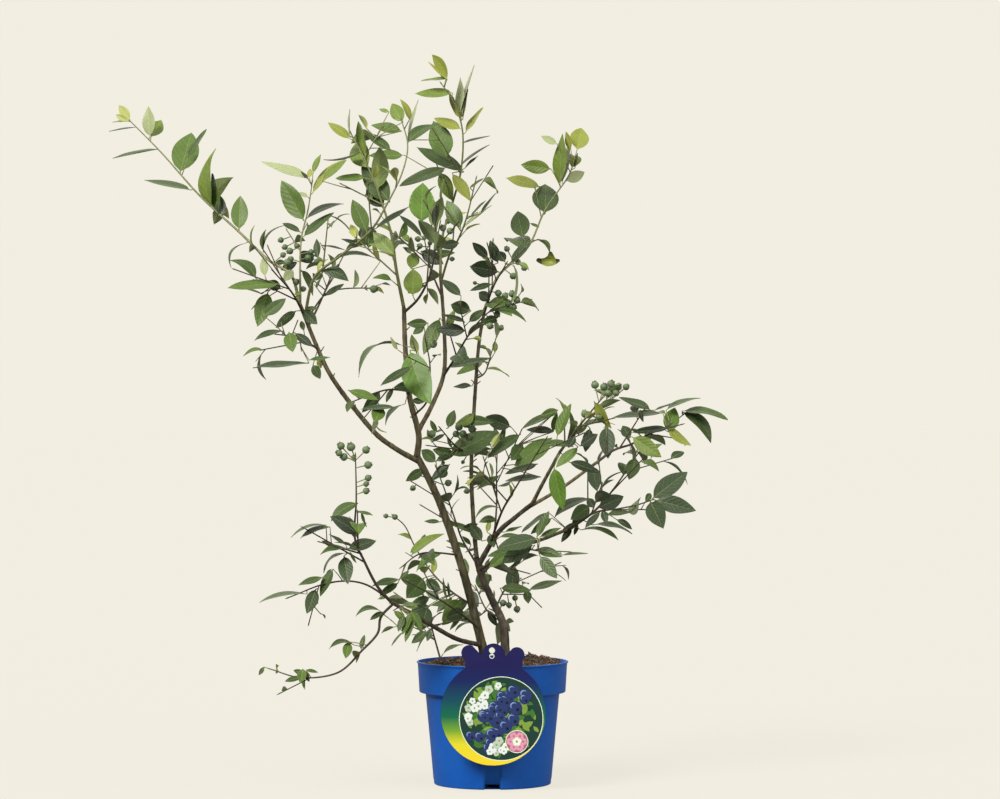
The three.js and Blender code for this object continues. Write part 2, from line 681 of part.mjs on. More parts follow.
// ---------------------------------------------------------------- pot, compost and label
function potOuter() {
  return [
    [POT_BASE_RADIUS - POT_EDGE, 0],
    [POT_BASE_RADIUS, POT_EDGE],
    [POT_SHOULDER_RADIUS, POT_BAND_FOOT - POT_STEP_EDGE],
    [POT_BAND_FOOT_RADIUS - POT_STEP_EDGE, POT_BAND_FOOT],
    [POT_BAND_FOOT_RADIUS, POT_BAND_FOOT + POT_STEP_EDGE],
    [POT_RIM_RADIUS - POT_STEP_EDGE, POT_HEIGHT - POT_LIP - POT_STEP_EDGE],
    [POT_RIM_RADIUS, POT_HEIGHT - POT_LIP],
    [POT_RIM_RADIUS, POT_HEIGHT],
  ];
}

function potInner(gap) {
  return [
    [POT_RIM_RADIUS - POT_WALL - gap, POT_HEIGHT],
    [POT_BAND_FOOT_RADIUS - POT_WALL - gap, POT_BAND_FOOT + POT_WALL + gap],
    [POT_SHOULDER_RADIUS - POT_WALL - gap, POT_BAND_FOOT + gap],
    [POT_BASE_RADIUS - POT_WALL - gap, POT_WALL + gap],
  ];
}

function lathed(profile) {
  const outline = profile.map((p) => new THREE.Vector2(...p));
  return solidOf(new THREE.LatheGeometry(outline, POT_SIDES).rotateX(Math.PI / 2));
}

/** The injection-moulded pot: a tapered wall, a wide rim band, drainage notches and holes. */
function potSolid() {
  let pot = lathed([[0, 0], ...potOuter(), ...potInner(0), [0, POT_WALL]]);
  for (let i = 0; i < DRAIN_NOTCH.count; i++) {
    const { width, height, depth, count } = DRAIN_NOTCH;
    const notch = new THREE.BoxGeometry(width, depth, height * 2).translate(0, -POT_BASE_RADIUS, 0);
    pot = pot.subtract(solidOf(notch.rotateZ((i * 2 * Math.PI) / count)));
  }
  for (let i = 0; i < DRAIN_HOLE.count; i++) {
    const { radius, ring, sides, count } = DRAIN_HOLE;
    const hole = new THREE.CylinderGeometry(radius, radius, POT_WALL * 4, sides).rotateX(Math.PI / 2);
    pot = pot.subtract(solidOf(hole.translate(ring, 0, 0).rotateZ(((i + 0.5) * 2 * Math.PI) / count)));
  }
  return pot;
}

/** The potting compost, SEAT clear of the pot, with a level top. */
function compostSolid() {
  const wall = potInner(SEAT);
  const [mouth, step] = wall;
  const share = (SOIL_TOP - step[1]) / (mouth[1] - step[1]);
  const edge = [step[0] + (mouth[0] - step[0]) * share, SOIL_TOP];
  const side = wall.slice(1).reverse();
  return lathed([[0, side[0][1]], ...side, edge, [0, SOIL_TOP]]);
}

/** The card that hooks over the rim: a round disc with a three-lobed top and two hanging holes. */
function labelSolid() {
  const back = -(POT_RIM_RADIUS + SEAT);
  const front = back - LABEL.thick;
  const disc = (x, z, radius, thick, sides) => {
    const card = new THREE.CylinderGeometry(radius, radius, thick, sides);
    return solidOf(card.translate(x, (front + back) / 2, z));
  };
  const slab = (left, right, near, far, foot, top) => {
    const block = new THREE.BoxGeometry(right - left, far - near, top - foot);
    return solidOf(block.translate((left + right) / 2, (near + far) / 2, (foot + top) / 2));
  };
  const half = LABEL_HOOK.width / 2;
  const leg = -(POT_RIM_RADIUS - POT_WALL - LABEL_HOOK.reach); // near face of the inner leg
  const over = POT_HEIGHT + SEAT;
  let card = wasm.Manifold.union([
    disc(LABEL.centreX, LABEL.centreZ, LABEL.radius, LABEL.thick, LABEL.sides),
    ...LABEL_LOBES.map((lobe) => disc(lobe.x, lobe.z, lobe.radius, LABEL.thick, LABEL_LOBE_SIDES)),
    slab(LABEL_NECK.left, LABEL_NECK.right, front, back, LABEL_NECK.foot, LABEL_NECK.top),
    slab(-half, half, front, leg + LABEL.thick, over, over + LABEL.thick),
    slab(-half, half, leg, leg + LABEL.thick, SOIL_TOP + SEAT, over + LABEL.thick),
  ]);
  for (const hole of LABEL_HOLES) {
    card = card.subtract(disc(hole.x, hole.z, hole.radius, LABEL.thick * 3, LABEL_HOLE_SIDES));
  }
  return card;
}

// ---------------------------------------------------------------- assembly
const FINISH = {
  pot: { color: 0x1f5fb8, roughness: 0.45 },
  compost: { color: 0x3a2a1c, roughness: 0.95 },
  label: { color: 0x15174a, roughness: 0.35 },
  bark: { color: 0x6a5a45, roughness: 0.8 },
  leaf: { color: 0x4f7a2e, roughness: 0.5 },
};
const materials = {};
for (const [name, look] of Object.entries(FINISH)) {
  materials[name] = new THREE.MeshStandardMaterial({ ...look, metalness: 0 });
}

const bush = new THREE.Group();

function place(name, solid, finish) {
  const mesh = new THREE.Mesh(geometryOf(solid), materials[finish]);
  mesh.name = name;
  bush.add(mesh);
}

place("pot", potSolid(), "pot");
place("compost", compostSolid(), "compost");
place("label", labelSolid(), "label");

const PLANS = { ...LIMBS, ...SHOOTS };
for (const [name, plan] of Object.entries(PLANS)) growSpine(name, plan);

const stems = {}; // every limb and shoot stem placed so far, swollen by SEAT

/** Cuts a piece clear of the compost, of its carrier, of that one's carrier and of its own siblings. */
function seated(plan, solid) {
  const above = plan.from ? solid : solid.trimByPlane([0, 0, 1], SOIL_TOP + SEAT);
  const grandparent = plan.from && PLANS[plan.from].from;
  const beside = Object.keys(stems).filter(
    (other) => other === plan.from || other === grandparent || PLANS[other].from === plan.from,
  );
  const clear = beside.reduce((rest, other) => rest.subtract(stems[other]), above);
  return largest(clear.simplify(SLIVER));
}

for (const [name, plan] of Object.entries(LIMBS)) {
  const sides = plan.from ? BOUGH_SIDES : TRUNK_SIDES;
  place(name, seated(plan, tubeOn(spines[name], sides)), "bark");
  stems[name] = tubeOn(spines[name], sides, SEAT);
}

for (const [name, plan] of Object.entries(SHOOTS)) {
  const draw = drawsFrom(plan.seed);
  const stem = spines[name];
  const twigs = growTwigs(name, plan, draw);
  const grown = { spines: [stem, ...twigs], stations: [], leaves: [], berries: [] };
  growBerries(name, plan, stem, draw, grown);
  growLeaves(name, plan, stem, [plan.bare, plan.leafTo ?? 1], draw, grown);
  for (const twig of twigs) growLeaves(name, plan, twig, LEAF.onTwig, draw, grown);
  const mass = wasm.Manifold.union([
    tubeOn(stem, STEM_SIDES),
    ...twigs.map(twigSolid),
    ...grown.leaves.map(leafSolid),
    ...grown.berries.map(berrySolid),
  ]);
  place(`foliage_${name}`, seated(plan, largest(mass)), "leaf");
  stems[name] = tubeOn(stem, STEM_SIDES, SEAT);
}

export default bush;
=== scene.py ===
# A young highbush blueberry in a blue 3-litre nursery pot: pot, compost, hook-on plant label,
# stems and boughs with their bark, and the leafy shoots with their green berries.
# Sizes are in millimetres, and every mesh is scaled to metres when it is made.
import math

import bpy
import numpy as np
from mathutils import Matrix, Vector, noise
from mathutils.geometry import tessellate_polygon


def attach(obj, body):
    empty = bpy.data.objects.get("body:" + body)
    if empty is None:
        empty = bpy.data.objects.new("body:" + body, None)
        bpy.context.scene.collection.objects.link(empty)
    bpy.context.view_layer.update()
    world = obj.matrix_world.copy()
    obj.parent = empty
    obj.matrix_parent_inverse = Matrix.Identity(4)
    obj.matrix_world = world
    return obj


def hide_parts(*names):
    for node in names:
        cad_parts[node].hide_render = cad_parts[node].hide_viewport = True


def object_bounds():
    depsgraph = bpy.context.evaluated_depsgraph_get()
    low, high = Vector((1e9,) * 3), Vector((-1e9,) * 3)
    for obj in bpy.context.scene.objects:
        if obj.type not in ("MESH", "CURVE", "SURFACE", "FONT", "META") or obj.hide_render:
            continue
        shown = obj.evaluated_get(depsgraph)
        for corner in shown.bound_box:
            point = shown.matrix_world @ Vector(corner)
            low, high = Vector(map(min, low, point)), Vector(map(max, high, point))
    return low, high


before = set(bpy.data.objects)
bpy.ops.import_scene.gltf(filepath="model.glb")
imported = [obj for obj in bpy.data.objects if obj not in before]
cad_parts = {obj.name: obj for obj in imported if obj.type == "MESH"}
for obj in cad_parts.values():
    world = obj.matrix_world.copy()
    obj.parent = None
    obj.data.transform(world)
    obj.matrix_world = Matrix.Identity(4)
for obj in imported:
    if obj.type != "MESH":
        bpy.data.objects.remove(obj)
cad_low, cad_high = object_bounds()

# ---------------- camera
# The bush is seen level, from 4.3 m in front of the pot and through a long lens, with the pot's
# foot near the bottom of the picture.
EYE = (0.0094, -4.3, 0.4805)
PICTURE_WIDTH_AT_ONE_METRE = 1000 / 3436

camera_data = bpy.data.cameras.new("camera")
camera_data.sensor_width = 36.0
camera_data.lens = camera_data.sensor_width / PICTURE_WIDTH_AT_ONE_METRE
camera_data.clip_end = 50.0
camera = bpy.data.objects.new("camera", camera_data)
camera.location = EYE
camera.rotation_euler = (math.radians(90), 0, 0)
bpy.context.scene.collection.objects.link(camera)
bpy.context.scene.camera = camera
bpy.context.scene.view_settings.view_transform = "Standard"

# ---------------- pot
# A round nursery pot, injection-moulded in satin blue polypropylene: a thin tapered wall, a wide
# rim band with a rolled lip, and four drainage notches cut in the foot.
MM = 0.001
POT_HEIGHT = 154.0
POT_RIM_RADIUS = 95.0
POT_BASE_RADIUS = 73.5
POT_SHOULDER_RADIUS = 84.0
POT_BAND_FOOT_RADIUS = 91.5
POT_BAND_FOOT = 115.0
POT_WALL = 1.6
POT_SIDES = 144
LIP_DROP = 1.6  # from the rim down to the middle of the lip's round
MOUTH_GIVE = 0.0035
NOTCH_COUNT = 4
NOTCH_WIDTH = 18.0
NOTCH_HEIGHT = 7.0
NOTCH_SLOPE = 1.5
DRAIN_HOLES = 4
DRAIN_HOLE_RADIUS = 5.0
DRAIN_HOLE_RING = 46.0
CUT_FROM = -3.0  # cutters start under the foot
NOTCH_REACH = 8.0
DRAIN_CUT_TOP = 6.0
SPECK_SHARE = 0.35  # how much fine specks add to the soft blotches


def srgb(red, green, blue):
    """A colour given as 0 to 255 display values, as the linear colour that shaders take."""
    shares = [c / 255 for c in (red, green, blue)]
    linear = [((c + 0.055) / 1.055) ** 2.4 if c > 0.04 else c / 12.92 for c in shares]
    return (*linear, 1.0)


def shader(name, colour, roughness, **sockets):
    """A new material with one Principled BSDF; returns the material, its tree and the shader node."""
    made = bpy.data.materials.new(name)
    made.use_nodes = True
    principled = made.node_tree.nodes["Principled BSDF"]
    principled.inputs["Base Color"].default_value = colour
    principled.inputs["Roughness"].default_value = roughness
    for socket, value in sockets.items():
        principled.inputs[socket.replace("_", " ")].default_value = value
    made.diffuse_color = colour
    return made, made.node_tree, principled


def node(tree, kind, **settings):
    """A shader node of that kind in the tree; a setting whose name is a socket's fills the socket."""
    made = tree.nodes.new(f"ShaderNode{kind}")
    for name, value in settings.items():
        socket = name.replace("_", " ")
        if socket in made.inputs:
            made.inputs[socket].default_value = value
        else:
            setattr(made, name, value)
    return made


def effect_group(name, **inputs):
    """A shader node group with these inputs and their start values, which gives a colour and a height."""
    group = bpy.data.node_groups.new(name, "ShaderNodeTree")
    for label, value in inputs.items():
        kind = "NodeSocketColor" if isinstance(value, tuple) else "NodeSocketFloat"
        socket = group.interface.new_socket(label.replace("_", " "), in_out="INPUT", socket_type=kind)
        socket.default_value = value
    group.interface.new_socket("Colour", in_out="OUTPUT", socket_type="NodeSocketColor")
    group.interface.new_socket("Height", in_out="OUTPUT", socket_type="NodeSocketFloat")
    return group, group.nodes.new("NodeGroupInput"), group.nodes.new("NodeGroupOutput")


def wire(tree, *links):
    """Joins sockets: each link names a node, its output, the next node and its input. A Mix node's
    colours are its inputs 6 and 7 and its output 2."""
    for source, output, target, socket in links:
        tree.links.new(source.outputs[output], target.inputs[socket])


def mottling():
    """Two colours mixed by soft blotches and fine specks, and a height for both: dirt, grain, bloom."""
    group, start, end = effect_group(
        "Mottling", Colour=(0.5, 0.5, 0.5, 1), Other_Colour=(0.4, 0.4, 0.4, 1), Blotch_Scale=60.0,
        Speck_Scale=900.0, Amount=0.5,
    )
    place = node(group, "TexCoord")
    blotch = node(group, "TexNoise", Detail=5.0, Roughness=0.6)
    speck = node(group, "TexNoise", Detail=2.0)
    both = node(group, "Math", operation="MULTIPLY_ADD")
    both.inputs[1].default_value = SPECK_SHARE
    edge = node(group, "MapRange", From_Min=0.45, From_Max=0.85)
    share = node(group, "Math", operation="MULTIPLY", use_clamp=True)
    mix = node(group, "Mix", data_type="RGBA")
    wire(
        group, (place, "Object", blotch, "Vector"), (place, "Object", speck, "Vector"),
        (start, "Blotch Scale", blotch, "Scale"), (start, "Speck Scale", speck, "Scale"),
        (speck, "Fac", both, 0), (blotch, "Fac", both, 2), (both, 0, edge, "Value"), (edge, 0, share, 0),
        (start, "Amount", share, 1), (share, 0, mix, 0), (start, "Colour", mix, 6),
        (start, "Other Colour", mix, 7), (mix, 2, end, "Colour"), (both, 0, end, "Height"),
    )
    return group


MOTTLING = mottling()


def textured(name, colour, roughness, group, values, relief, depth, **sockets):
    """A material whose colour and relief are a group's, which is placed in it with its own values."""
    made, tree, principled = shader(name, colour, roughness, **sockets)
    effect = node(tree, "Group", node_tree=group, Colour=colour, **values)
    bump = node(tree, "Bump", Strength=relief, Distance=depth)
    wire(
        tree, (effect, "Colour", principled, "Base Color"), (effect, "Height", bump, "Height"),
        (bump, "Normal", principled, "Normal"),
    )
    return made


def mottled(name, colour, other, roughness, grain, relief=0.1, depth=0.0003, **sockets):
    """A material whose colour wanders between two. `grain` gives how fine its blotches and its specks
    are, and how far the second colour goes."""
    blotch, speck, amount = grain
    values = dict(Other_Colour=other, Blotch_Scale=blotch, Speck_Scale=speck, Amount=amount)
    return textured(name, colour, roughness, MOTTLING, values, relief, depth, **sockets)


def mesh_piece(name, points, faces, materials, which=0, smooth=True):
    """A named mesh object from points in millimetres. `which` gives the place in `materials` of the
    one that all faces take, or that each takes."""
    mesh = bpy.data.meshes.new(name)
    mesh.from_pydata((np.asarray(points, float) * MM).tolist(), [], faces)
    for material in materials:
        mesh.materials.append(material)
    mesh.polygons.foreach_set("material_index", np.broadcast_to(which, len(faces)).astype(np.int32))
    mesh.polygons.foreach_set("use_smooth", [smooth] * len(faces))
    mesh.update()
    made = bpy.data.objects.new(name, mesh)
    bpy.context.scene.collection.objects.link(made)
    return made


def fitted(piece, slot, *replaced):
    """Every piece rides on the one body and hides the CAD nodes that it stands for; its slot is not used."""
    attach(piece, "root")
    if replaced:
        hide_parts(*replaced)


def arc(centre_r, centre_z, radius, start, end, count):
    """Points (r, z) of a round stretch of a profile, from one angle in degrees to another."""
    turns = np.radians(np.linspace(start, end, count))
    return [(centre_r + radius * math.cos(a), centre_z + radius * math.sin(a)) for a in turns]


def ring_skin(rings, sides):
    """Faces of a closed skin over rings of points; the middle of its first ring and that of its last
    are the two points after them."""
    pairs = [(j, (j + 1) % sides) for j in range(sides)]
    last, foot, top = (rings - 1) * sides, rings * sides, rings * sides + 1
    faces = [(foot, m, j) for j, m in pairs]
    for row in range(0, last, sides):
        faces += [(row + j, row + m, row + sides + m, row + sides + j) for j, m in pairs]
    return faces + [(last + j, last + m, top) for j, m in pairs]


def lathe(profile, sides, wobble):
    """Points and faces of a profile (r, z) turned about the Z axis; it starts and ends on the axis."""
    turns = np.arange(sides) * 2 * math.pi / sides
    r, z = np.array(profile[1:-1], float).T
    rings = np.stack([np.outer(r, np.cos(turns)), np.outer(r, np.sin(turns))], axis=-1)
    rings = np.concatenate([rings, np.repeat(z[:, None], sides, 1)[..., None]], axis=-1)
    points = wobble(np.concatenate([rings.reshape(-1, 3), [(0, 0, profile[0][1]), (0, 0, profile[-1][1])]]))
    return points, ring_skin(len(r), sides)


def prism(outline, low, high):
    """Points and faces of a straight block: an outline of (x, y) from `low` to `high` along z."""
    count = len(outline)
    points = [(x, y, low) for x, y in outline] + [(x, y, high) for x, y in outline]
    faces = [tuple(reversed(range(count))), tuple(range(count, 2 * count))]
    faces += [(i, (i + 1) % count, count + (i + 1) % count, count + i) for i in range(count)]
    return np.array(points, float), faces


def round_outline(centre_x, centre_y, radius, count):
    turns = np.arange(count) * 2 * math.pi / count
    return [(centre_x + radius * math.cos(a), centre_y + radius * math.sin(a)) for a in turns]


def carved(piece, cutters):
    """Takes the cutters' blocks out of the piece's mesh."""
    tools = [mesh_piece(f"cutter_{i}", *cutter, []) for i, cutter in enumerate(cutters)]
    for tool in tools:
        cut = piece.modifiers.new("cut", "BOOLEAN")
        cut.object = tool
        cut.solver = "EXACT"
    evaluated = piece.evaluated_get(bpy.context.evaluated_depsgraph_get())
    mesh = bpy.data.meshes.new_from_object(evaluated)
    piece.modifiers.clear()
    piece.data = mesh
    for tool in tools:
        bpy.data.objects.remove(tool)


def pot_profile():
    """The wall's section, from the middle of the floor out, up the outside, over the lip and back."""
    wall = POT_WALL
    foot, neck, band, lip, edge = 2.2, 1.6, 1.2, 1.0, 0.4  # radii of its rounded corners, upwards
    slope = math.degrees(math.atan2(POT_BAND_FOOT, POT_SHOULDER_RADIUS - POT_BASE_RADIUS))
    outside = [(0.0, 0.0), (DRAIN_HOLE_RING, 0.0), (POT_BASE_RADIUS - 4.0, 0.0)]
    outside += arc(POT_BASE_RADIUS - foot, foot, foot, -80, slope - 90, 5)
    outside += [(POT_BASE_RADIUS + 5.0, POT_BAND_FOOT * 0.5)]
    outside += [(POT_SHOULDER_RADIUS - 0.3, POT_BAND_FOOT - 2.5)]
    outside += arc(POT_SHOULDER_RADIUS + neck, POT_BAND_FOOT - neck, neck, 170, 100, 4)
    outside += [(POT_BAND_FOOT_RADIUS - 1.6, POT_BAND_FOOT)]
    outside += arc(POT_BAND_FOOT_RADIUS - band, POT_BAND_FOOT + band, band, -80, 0, 5)
    outside += [(POT_RIM_RADIUS - 1.6, POT_HEIGHT - 6.0), (POT_RIM_RADIUS - 1.4, POT_HEIGHT - 3.6)]
    outside += arc(POT_RIM_RADIUS - lip, POT_HEIGHT - LIP_DROP, lip, -70, 90, 7)
    inside = arc(POT_RIM_RADIUS - wall - edge, POT_HEIGHT - lip, edge, 90, 180, 3)
    inside += [(POT_BAND_FOOT_RADIUS - wall, POT_BAND_FOOT + wall)]
    inside += [(POT_SHOULDER_RADIUS - wall, POT_BAND_FOOT)]
    inside += [(POT_BASE_RADIUS - wall - 1.0, wall + 1.0), (POT_BASE_RADIUS - wall - 2.5, wall), (0.0, wall)]
    return outside + inside


def hand_formed(points):
    """The mouth of a thin pot is never quite round: it gives by half a millimetre."""
    turn = np.arctan2(points[..., 1], points[..., 0])
    height = np.clip(points[..., 2] / POT_HEIGHT, 0, 1) ** 2
    ease = 1 + MOUTH_GIVE * height * np.sin(2 * turn + 0.8) - MOUTH_GIVE * height
    return points * np.stack([ease, ease, np.ones_like(ease)], axis=-1)


def notch_block(turn):
    half = NOTCH_WIDTH / 2
    foot = half + NOTCH_SLOPE
    outline = [(-foot, CUT_FROM), (foot, CUT_FROM), (half, NOTCH_HEIGHT), (-half, NOTCH_HEIGHT)]
    points, faces = prism(outline, -NOTCH_REACH, NOTCH_REACH)
    across, up, along = points.T
    out = along + POT_BASE_RADIUS
    x = out * math.sin(turn) + across * math.cos(turn)
    y = -out * math.cos(turn) + across * math.sin(turn)
    return np.stack([x, y, up], axis=1), faces


POT_BLUE = srgb(8, 76, 164)
POT_SCUFF = srgb(20, 92, 180)
pot_plastic = mottled(
    "pot_blue_polypropylene", POT_BLUE, POT_SCUFF, 0.42, (26.0, 420.0, 0.55), relief=0.25, depth=0.0002,
    Specular_IOR_Level=0.25,
)

pot = mesh_piece("pot_wall", *lathe(pot_profile(), POT_SIDES, hand_formed), [pot_plastic])
blocks = [notch_block(2 * math.pi * i / NOTCH_COUNT) for i in range(NOTCH_COUNT)]
for i in range(DRAIN_HOLES):
    turn = 2 * math.pi * (i + 0.5) / DRAIN_HOLES
    middle = (DRAIN_HOLE_RING * math.cos(turn), DRAIN_HOLE_RING * math.sin(turn))
    blocks.append(prism(round_outline(*middle, DRAIN_HOLE_RADIUS, 24), CUT_FROM, DRAIN_CUT_TOP))
carved(pot, blocks)
fitted(pot, "pot", "pot")

# ---------------- compost
# Moist potting compost: dark peat with bark fibre, filled to just under the lip and heaped above it
# behind and at the right of the stems, with crumbs all over it and a few pale fibres.
SOIL_TOP = 150.5
SOIL_RADIUS = 92.4
SOIL_RINGS = 34
SOIL_SPOKES = 120
MOUND = (50.0, 26.0, 30.0, 7.0)  # x, y, spread, height
CLODS = (0.09, 1.6)  # fineness, height
GRIT = (0.3, 1.0)
WALL_DIP = (0.8, 2.5)  # share of the radius where it starts, depth at the wall
SOIL_RIM_FOOT = 30.0  # how deep the filling is made, out of sight in the pot
SOIL_TAPER = 0.965
CRUMBS = 1700
CRUMBS_TO_WALL = 3.5
CRUMB_SIZE = (0.7, 2.9)  # least, and how much more the largest has
CRUMB_SHAPE = np.array((1.4, 1.0, 0.7))
CRUMB_ROUGH = (0.5, 1.3)
CRUMB_RAISED = 0.3
BARK_CRUMBS = 0.45  # share of them
FIBRES = 240
FIBRES_TO_WALL = 6.0
FIBRE_LENGTH = (4, 9)  # least, and how much more the longest has

compost_dark = mottled(
    "compost_moist_peat", srgb(38, 27, 19), srgb(66, 48, 34), 0.95, (110.0, 1300.0, 0.8), 0.9, 0.0015,
)
compost_bark = mottled(
    "compost_bark_crumb", srgb(58, 40, 28), srgb(96, 72, 50), 0.9, (160.0, 1500.0, 0.8), 0.6, 0.0008,
)
compost_fibre = mottled(
    "compost_pale_fibre", srgb(122, 92, 62), srgb(160, 128, 92), 0.85, (200.0, 1500.0, 0.6),
)


def soil_height(x, y):
    """The level of the compost: clods, a low mound, and a dip along the wall."""
    rough = noise.noise(Vector((x, y, 0.0)) * CLODS[0]) * CLODS[1]
    rough += noise.noise(Vector((x, y, 7.0)) * GRIT[0]) * GRIT[1]
    mound_x, mound_y, spread, height = MOUND
    rise = height * math.exp(-((x - mound_x) ** 2 + (y - mound_y) ** 2) / spread**2)
    edge = math.hypot(x, y) / SOIL_RADIUS
    start, dip = WALL_DIP
    return SOIL_TOP + rough + rise - dip * max(0.0, edge - start) / (1 - start)


def compost_bed():
    """The bed's lumpy top as rings round its middle, turned down at the wall and closed below."""
    points, deep = [(0.0, 0.0, soil_height(0.0, 0.0))], SOIL_TOP - SOIL_RIM_FOOT
    for i in range(1, SOIL_RINGS + 1):
        ring = round_outline(0.0, 0.0, SOIL_RADIUS * i / SOIL_RINGS, SOIL_SPOKES)
        points += [(x, y, soil_height(x, y)) for x, y in ring]
    points += [(x * SOIL_TAPER, y * SOIL_TAPER, deep) for x, y in ring]
    points.append((0.0, 0.0, deep))
    spokes = [(1 + j, 1 + (j + 1) % SOIL_SPOKES) for j in range(SOIL_SPOKES)]
    faces = [(0, j, k) for j, k in spokes]
    last, turn = SOIL_RINGS * SOIL_SPOKES, SOIL_SPOKES
    for row in range(0, last, turn):
        faces += [(row + j, row + turn + j, row + turn + k, row + k) for j, k in spokes]
    return points, faces + [(last + k, last + j, len(points) - 1) for j, k in spokes]


class Pile:
    """Many small shapes gathered into the arrays of one mesh."""

    def __init__(self, smooth=True):
        self.points, self.faces, self.which, self.smooth, self.count = [], [], [], smooth, 0

    def add(self, points, faces, material=0):
        """`material` is the same for all faces, or one for each."""
        self.points.append(np.asarray(points, float))
        self.faces += [tuple(i + self.count for i in face) for face in faces]
        self.which += np.broadcast_to(material, len(faces)).tolist()
        self.count += len(points)

    def piece(self, name, materials):
        return mesh_piece(name, np.concatenate(self.points), self.faces, materials, self.which, self.smooth)


OCTAHEDRON = np.array([(1, 0, 0), (-1, 0, 0), (0, 1, 0), (0, -1, 0), (0, 0, 1), (0, 0, -1)], float)
OCTAHEDRON_FACES = [
    (0, 2, 4), (2, 1, 4), (1, 3, 4), (3, 0, 4), (2, 0, 5), (1, 2, 5), (3, 1, 5), (0, 3, 5),
]

soil_draw = np.random.default_rng(11)
bed = mesh_piece("compost_bed", *compost_bed(), [compost_dark])
fitted(bed, "compost", "compost")

crumbs = Pile(smooth=False)
for _ in range(CRUMBS):
    r = (SOIL_RADIUS - CRUMBS_TO_WALL) * math.sqrt(soil_draw.random())
    turn = soil_draw.random() * 2 * math.pi
    x, y = r * math.cos(turn), r * math.sin(turn)
    size = CRUMB_SIZE[0] + CRUMB_SIZE[1] * soil_draw.random() ** 3
    spun = np.linalg.qr(soil_draw.normal(size=(3, 3)))[0]
    lump = OCTAHEDRON * soil_draw.uniform(*CRUMB_ROUGH, (6, 1)) * (size * CRUMB_SHAPE)
    at = np.array((x, y, soil_height(x, y) + size * CRUMB_RAISED))
    crumbs.add(lump @ spun.T + at, OCTAHEDRON_FACES, int(soil_draw.random() < BARK_CRUMBS))
for _ in range(FIBRES):
    r = (SOIL_RADIUS - FIBRES_TO_WALL) * math.sqrt(soil_draw.random())
    turn, aim = soil_draw.random(2) * 2 * math.pi
    length = FIBRE_LENGTH[0] + FIBRE_LENGTH[1] * soil_draw.random()
    bend = soil_draw.normal() * 0.5
    steps = np.linspace(-0.5, 0.5, 5)
    x = r * math.cos(turn) + length * steps * np.cos(aim + bend * steps)
    y = r * math.sin(turn) + length * steps * np.sin(aim + bend * steps)
    lift = [soil_height(a, b) + 0.8 + 1.6 * soil_draw.random() for a, b in zip(x, y)]
    rows = [[(a, b, h), (a + 0.5, b + 0.3, h + 0.1), (a + 0.2, b, h + 0.5)] for a, b, h in zip(x, y, lift)]
    sides = [(3 * i + j, 3 * i + (j + 1) % 3) for i in range(4) for j in range(3)]
    faces = [(a, b, b + 3, a + 3) for a, b in sides]
    crumbs.add(np.array(rows).reshape(-1, 3), faces + [(2, 1, 0), (12, 13, 14)], 2)
crumb_piece = crumbs.piece("compost_crumbs", [compost_dark, compost_bark, compost_fibre])
fitted(crumb_piece, "compost")

# ---------------- plant label
# A plastic card that hooks over the pot's lip: a disc under a three-lobed top with two hanging holes.
# Its print is a ring that runs from navy through green to yellow, round a picture of leaves, ripe
# fruit and blossom in loose drifts, with a small pink inset.
LABEL_RADIUS = 64.5
LABEL_CENTRE = (1.0, 97.0)
LABEL_THICK = 1.0
LABEL_GAP = 0.3
LABEL_LOBES = [(1.5, 167.5, 14.5), (-28.5, 170.5, 9.5), (30.0, 168.0, 9.5)]  # x, z, radius
LABEL_NECK = (-33.0, 37.0, 165.0)  # left, right, top
LABEL_WAIST = 150.0
LABEL_HOLES = [(-0.5, 173.5, 2.7), (-0.5, 166.5, 2.2)]
EYELET = 0.9
HOOK_HALF = 10.0
HOOK_REACH = 2.4
HOOK_SUNK = 0.4
INK = 0.06  # how proud the print is made
INK_STEP = 0.0025  # how much more each further shape stands out
INK_SUNK = 0.05
PRINTED_LEAVES = (150, (4.0, 8.0))  # how many places are drawn, limits of their size
PRINTED_FRUIT = (64, (5.0, 8.6))
PRINTED_BLOSSOM = (90, (3.6, 6.2))
PICTURE_CENTRE = (10.8, 90.0)
PICTURE_RADIUS = 51.6
PICTURE_LINE = 0.9
PICTURE_CLEAR = 1.5
INSET = (30.0, 62.0, 14.0)  # x, z, radius
DRIFT_SLANT = (0.75, 0.66)
DRIFT_SHIFT = 5.0
DRIFT_HALF = 19.0
label_back = -(POT_RIM_RADIUS + LABEL_GAP)
label_front = label_back - LABEL_THICK
PRINT_ROUGHNESS = 0.35
GLOSS_FILM = dict(Coat_Weight=0.1, Coat_Roughness=0.2, Specular_IOR_Level=0.3)


def ink(name, colour):
    """A printed colour under a gloss film."""
    lighter = tuple(min(1.0, c * 1.12 + 0.004) for c in colour[:3]) + (1.0,)
    return mottled(
        name, colour, lighter, PRINT_ROUGHNESS, (90.0, 2200.0, 0.5), relief=0.05, depth=0.0001, **GLOSS_FILM,
    )


LABEL_NAVY = srgb(22, 20, 74)
RING_STOPS = [
    (0.0, srgb(222, 194, 40)), (0.2, srgb(206, 196, 40)), (0.33, srgb(104, 150, 44)),
    (0.46, srgb(12, 96, 66)), (0.62, srgb(8, 66, 84)), (0.8, srgb(14, 30, 84)), (0.95, LABEL_NAVY),
]


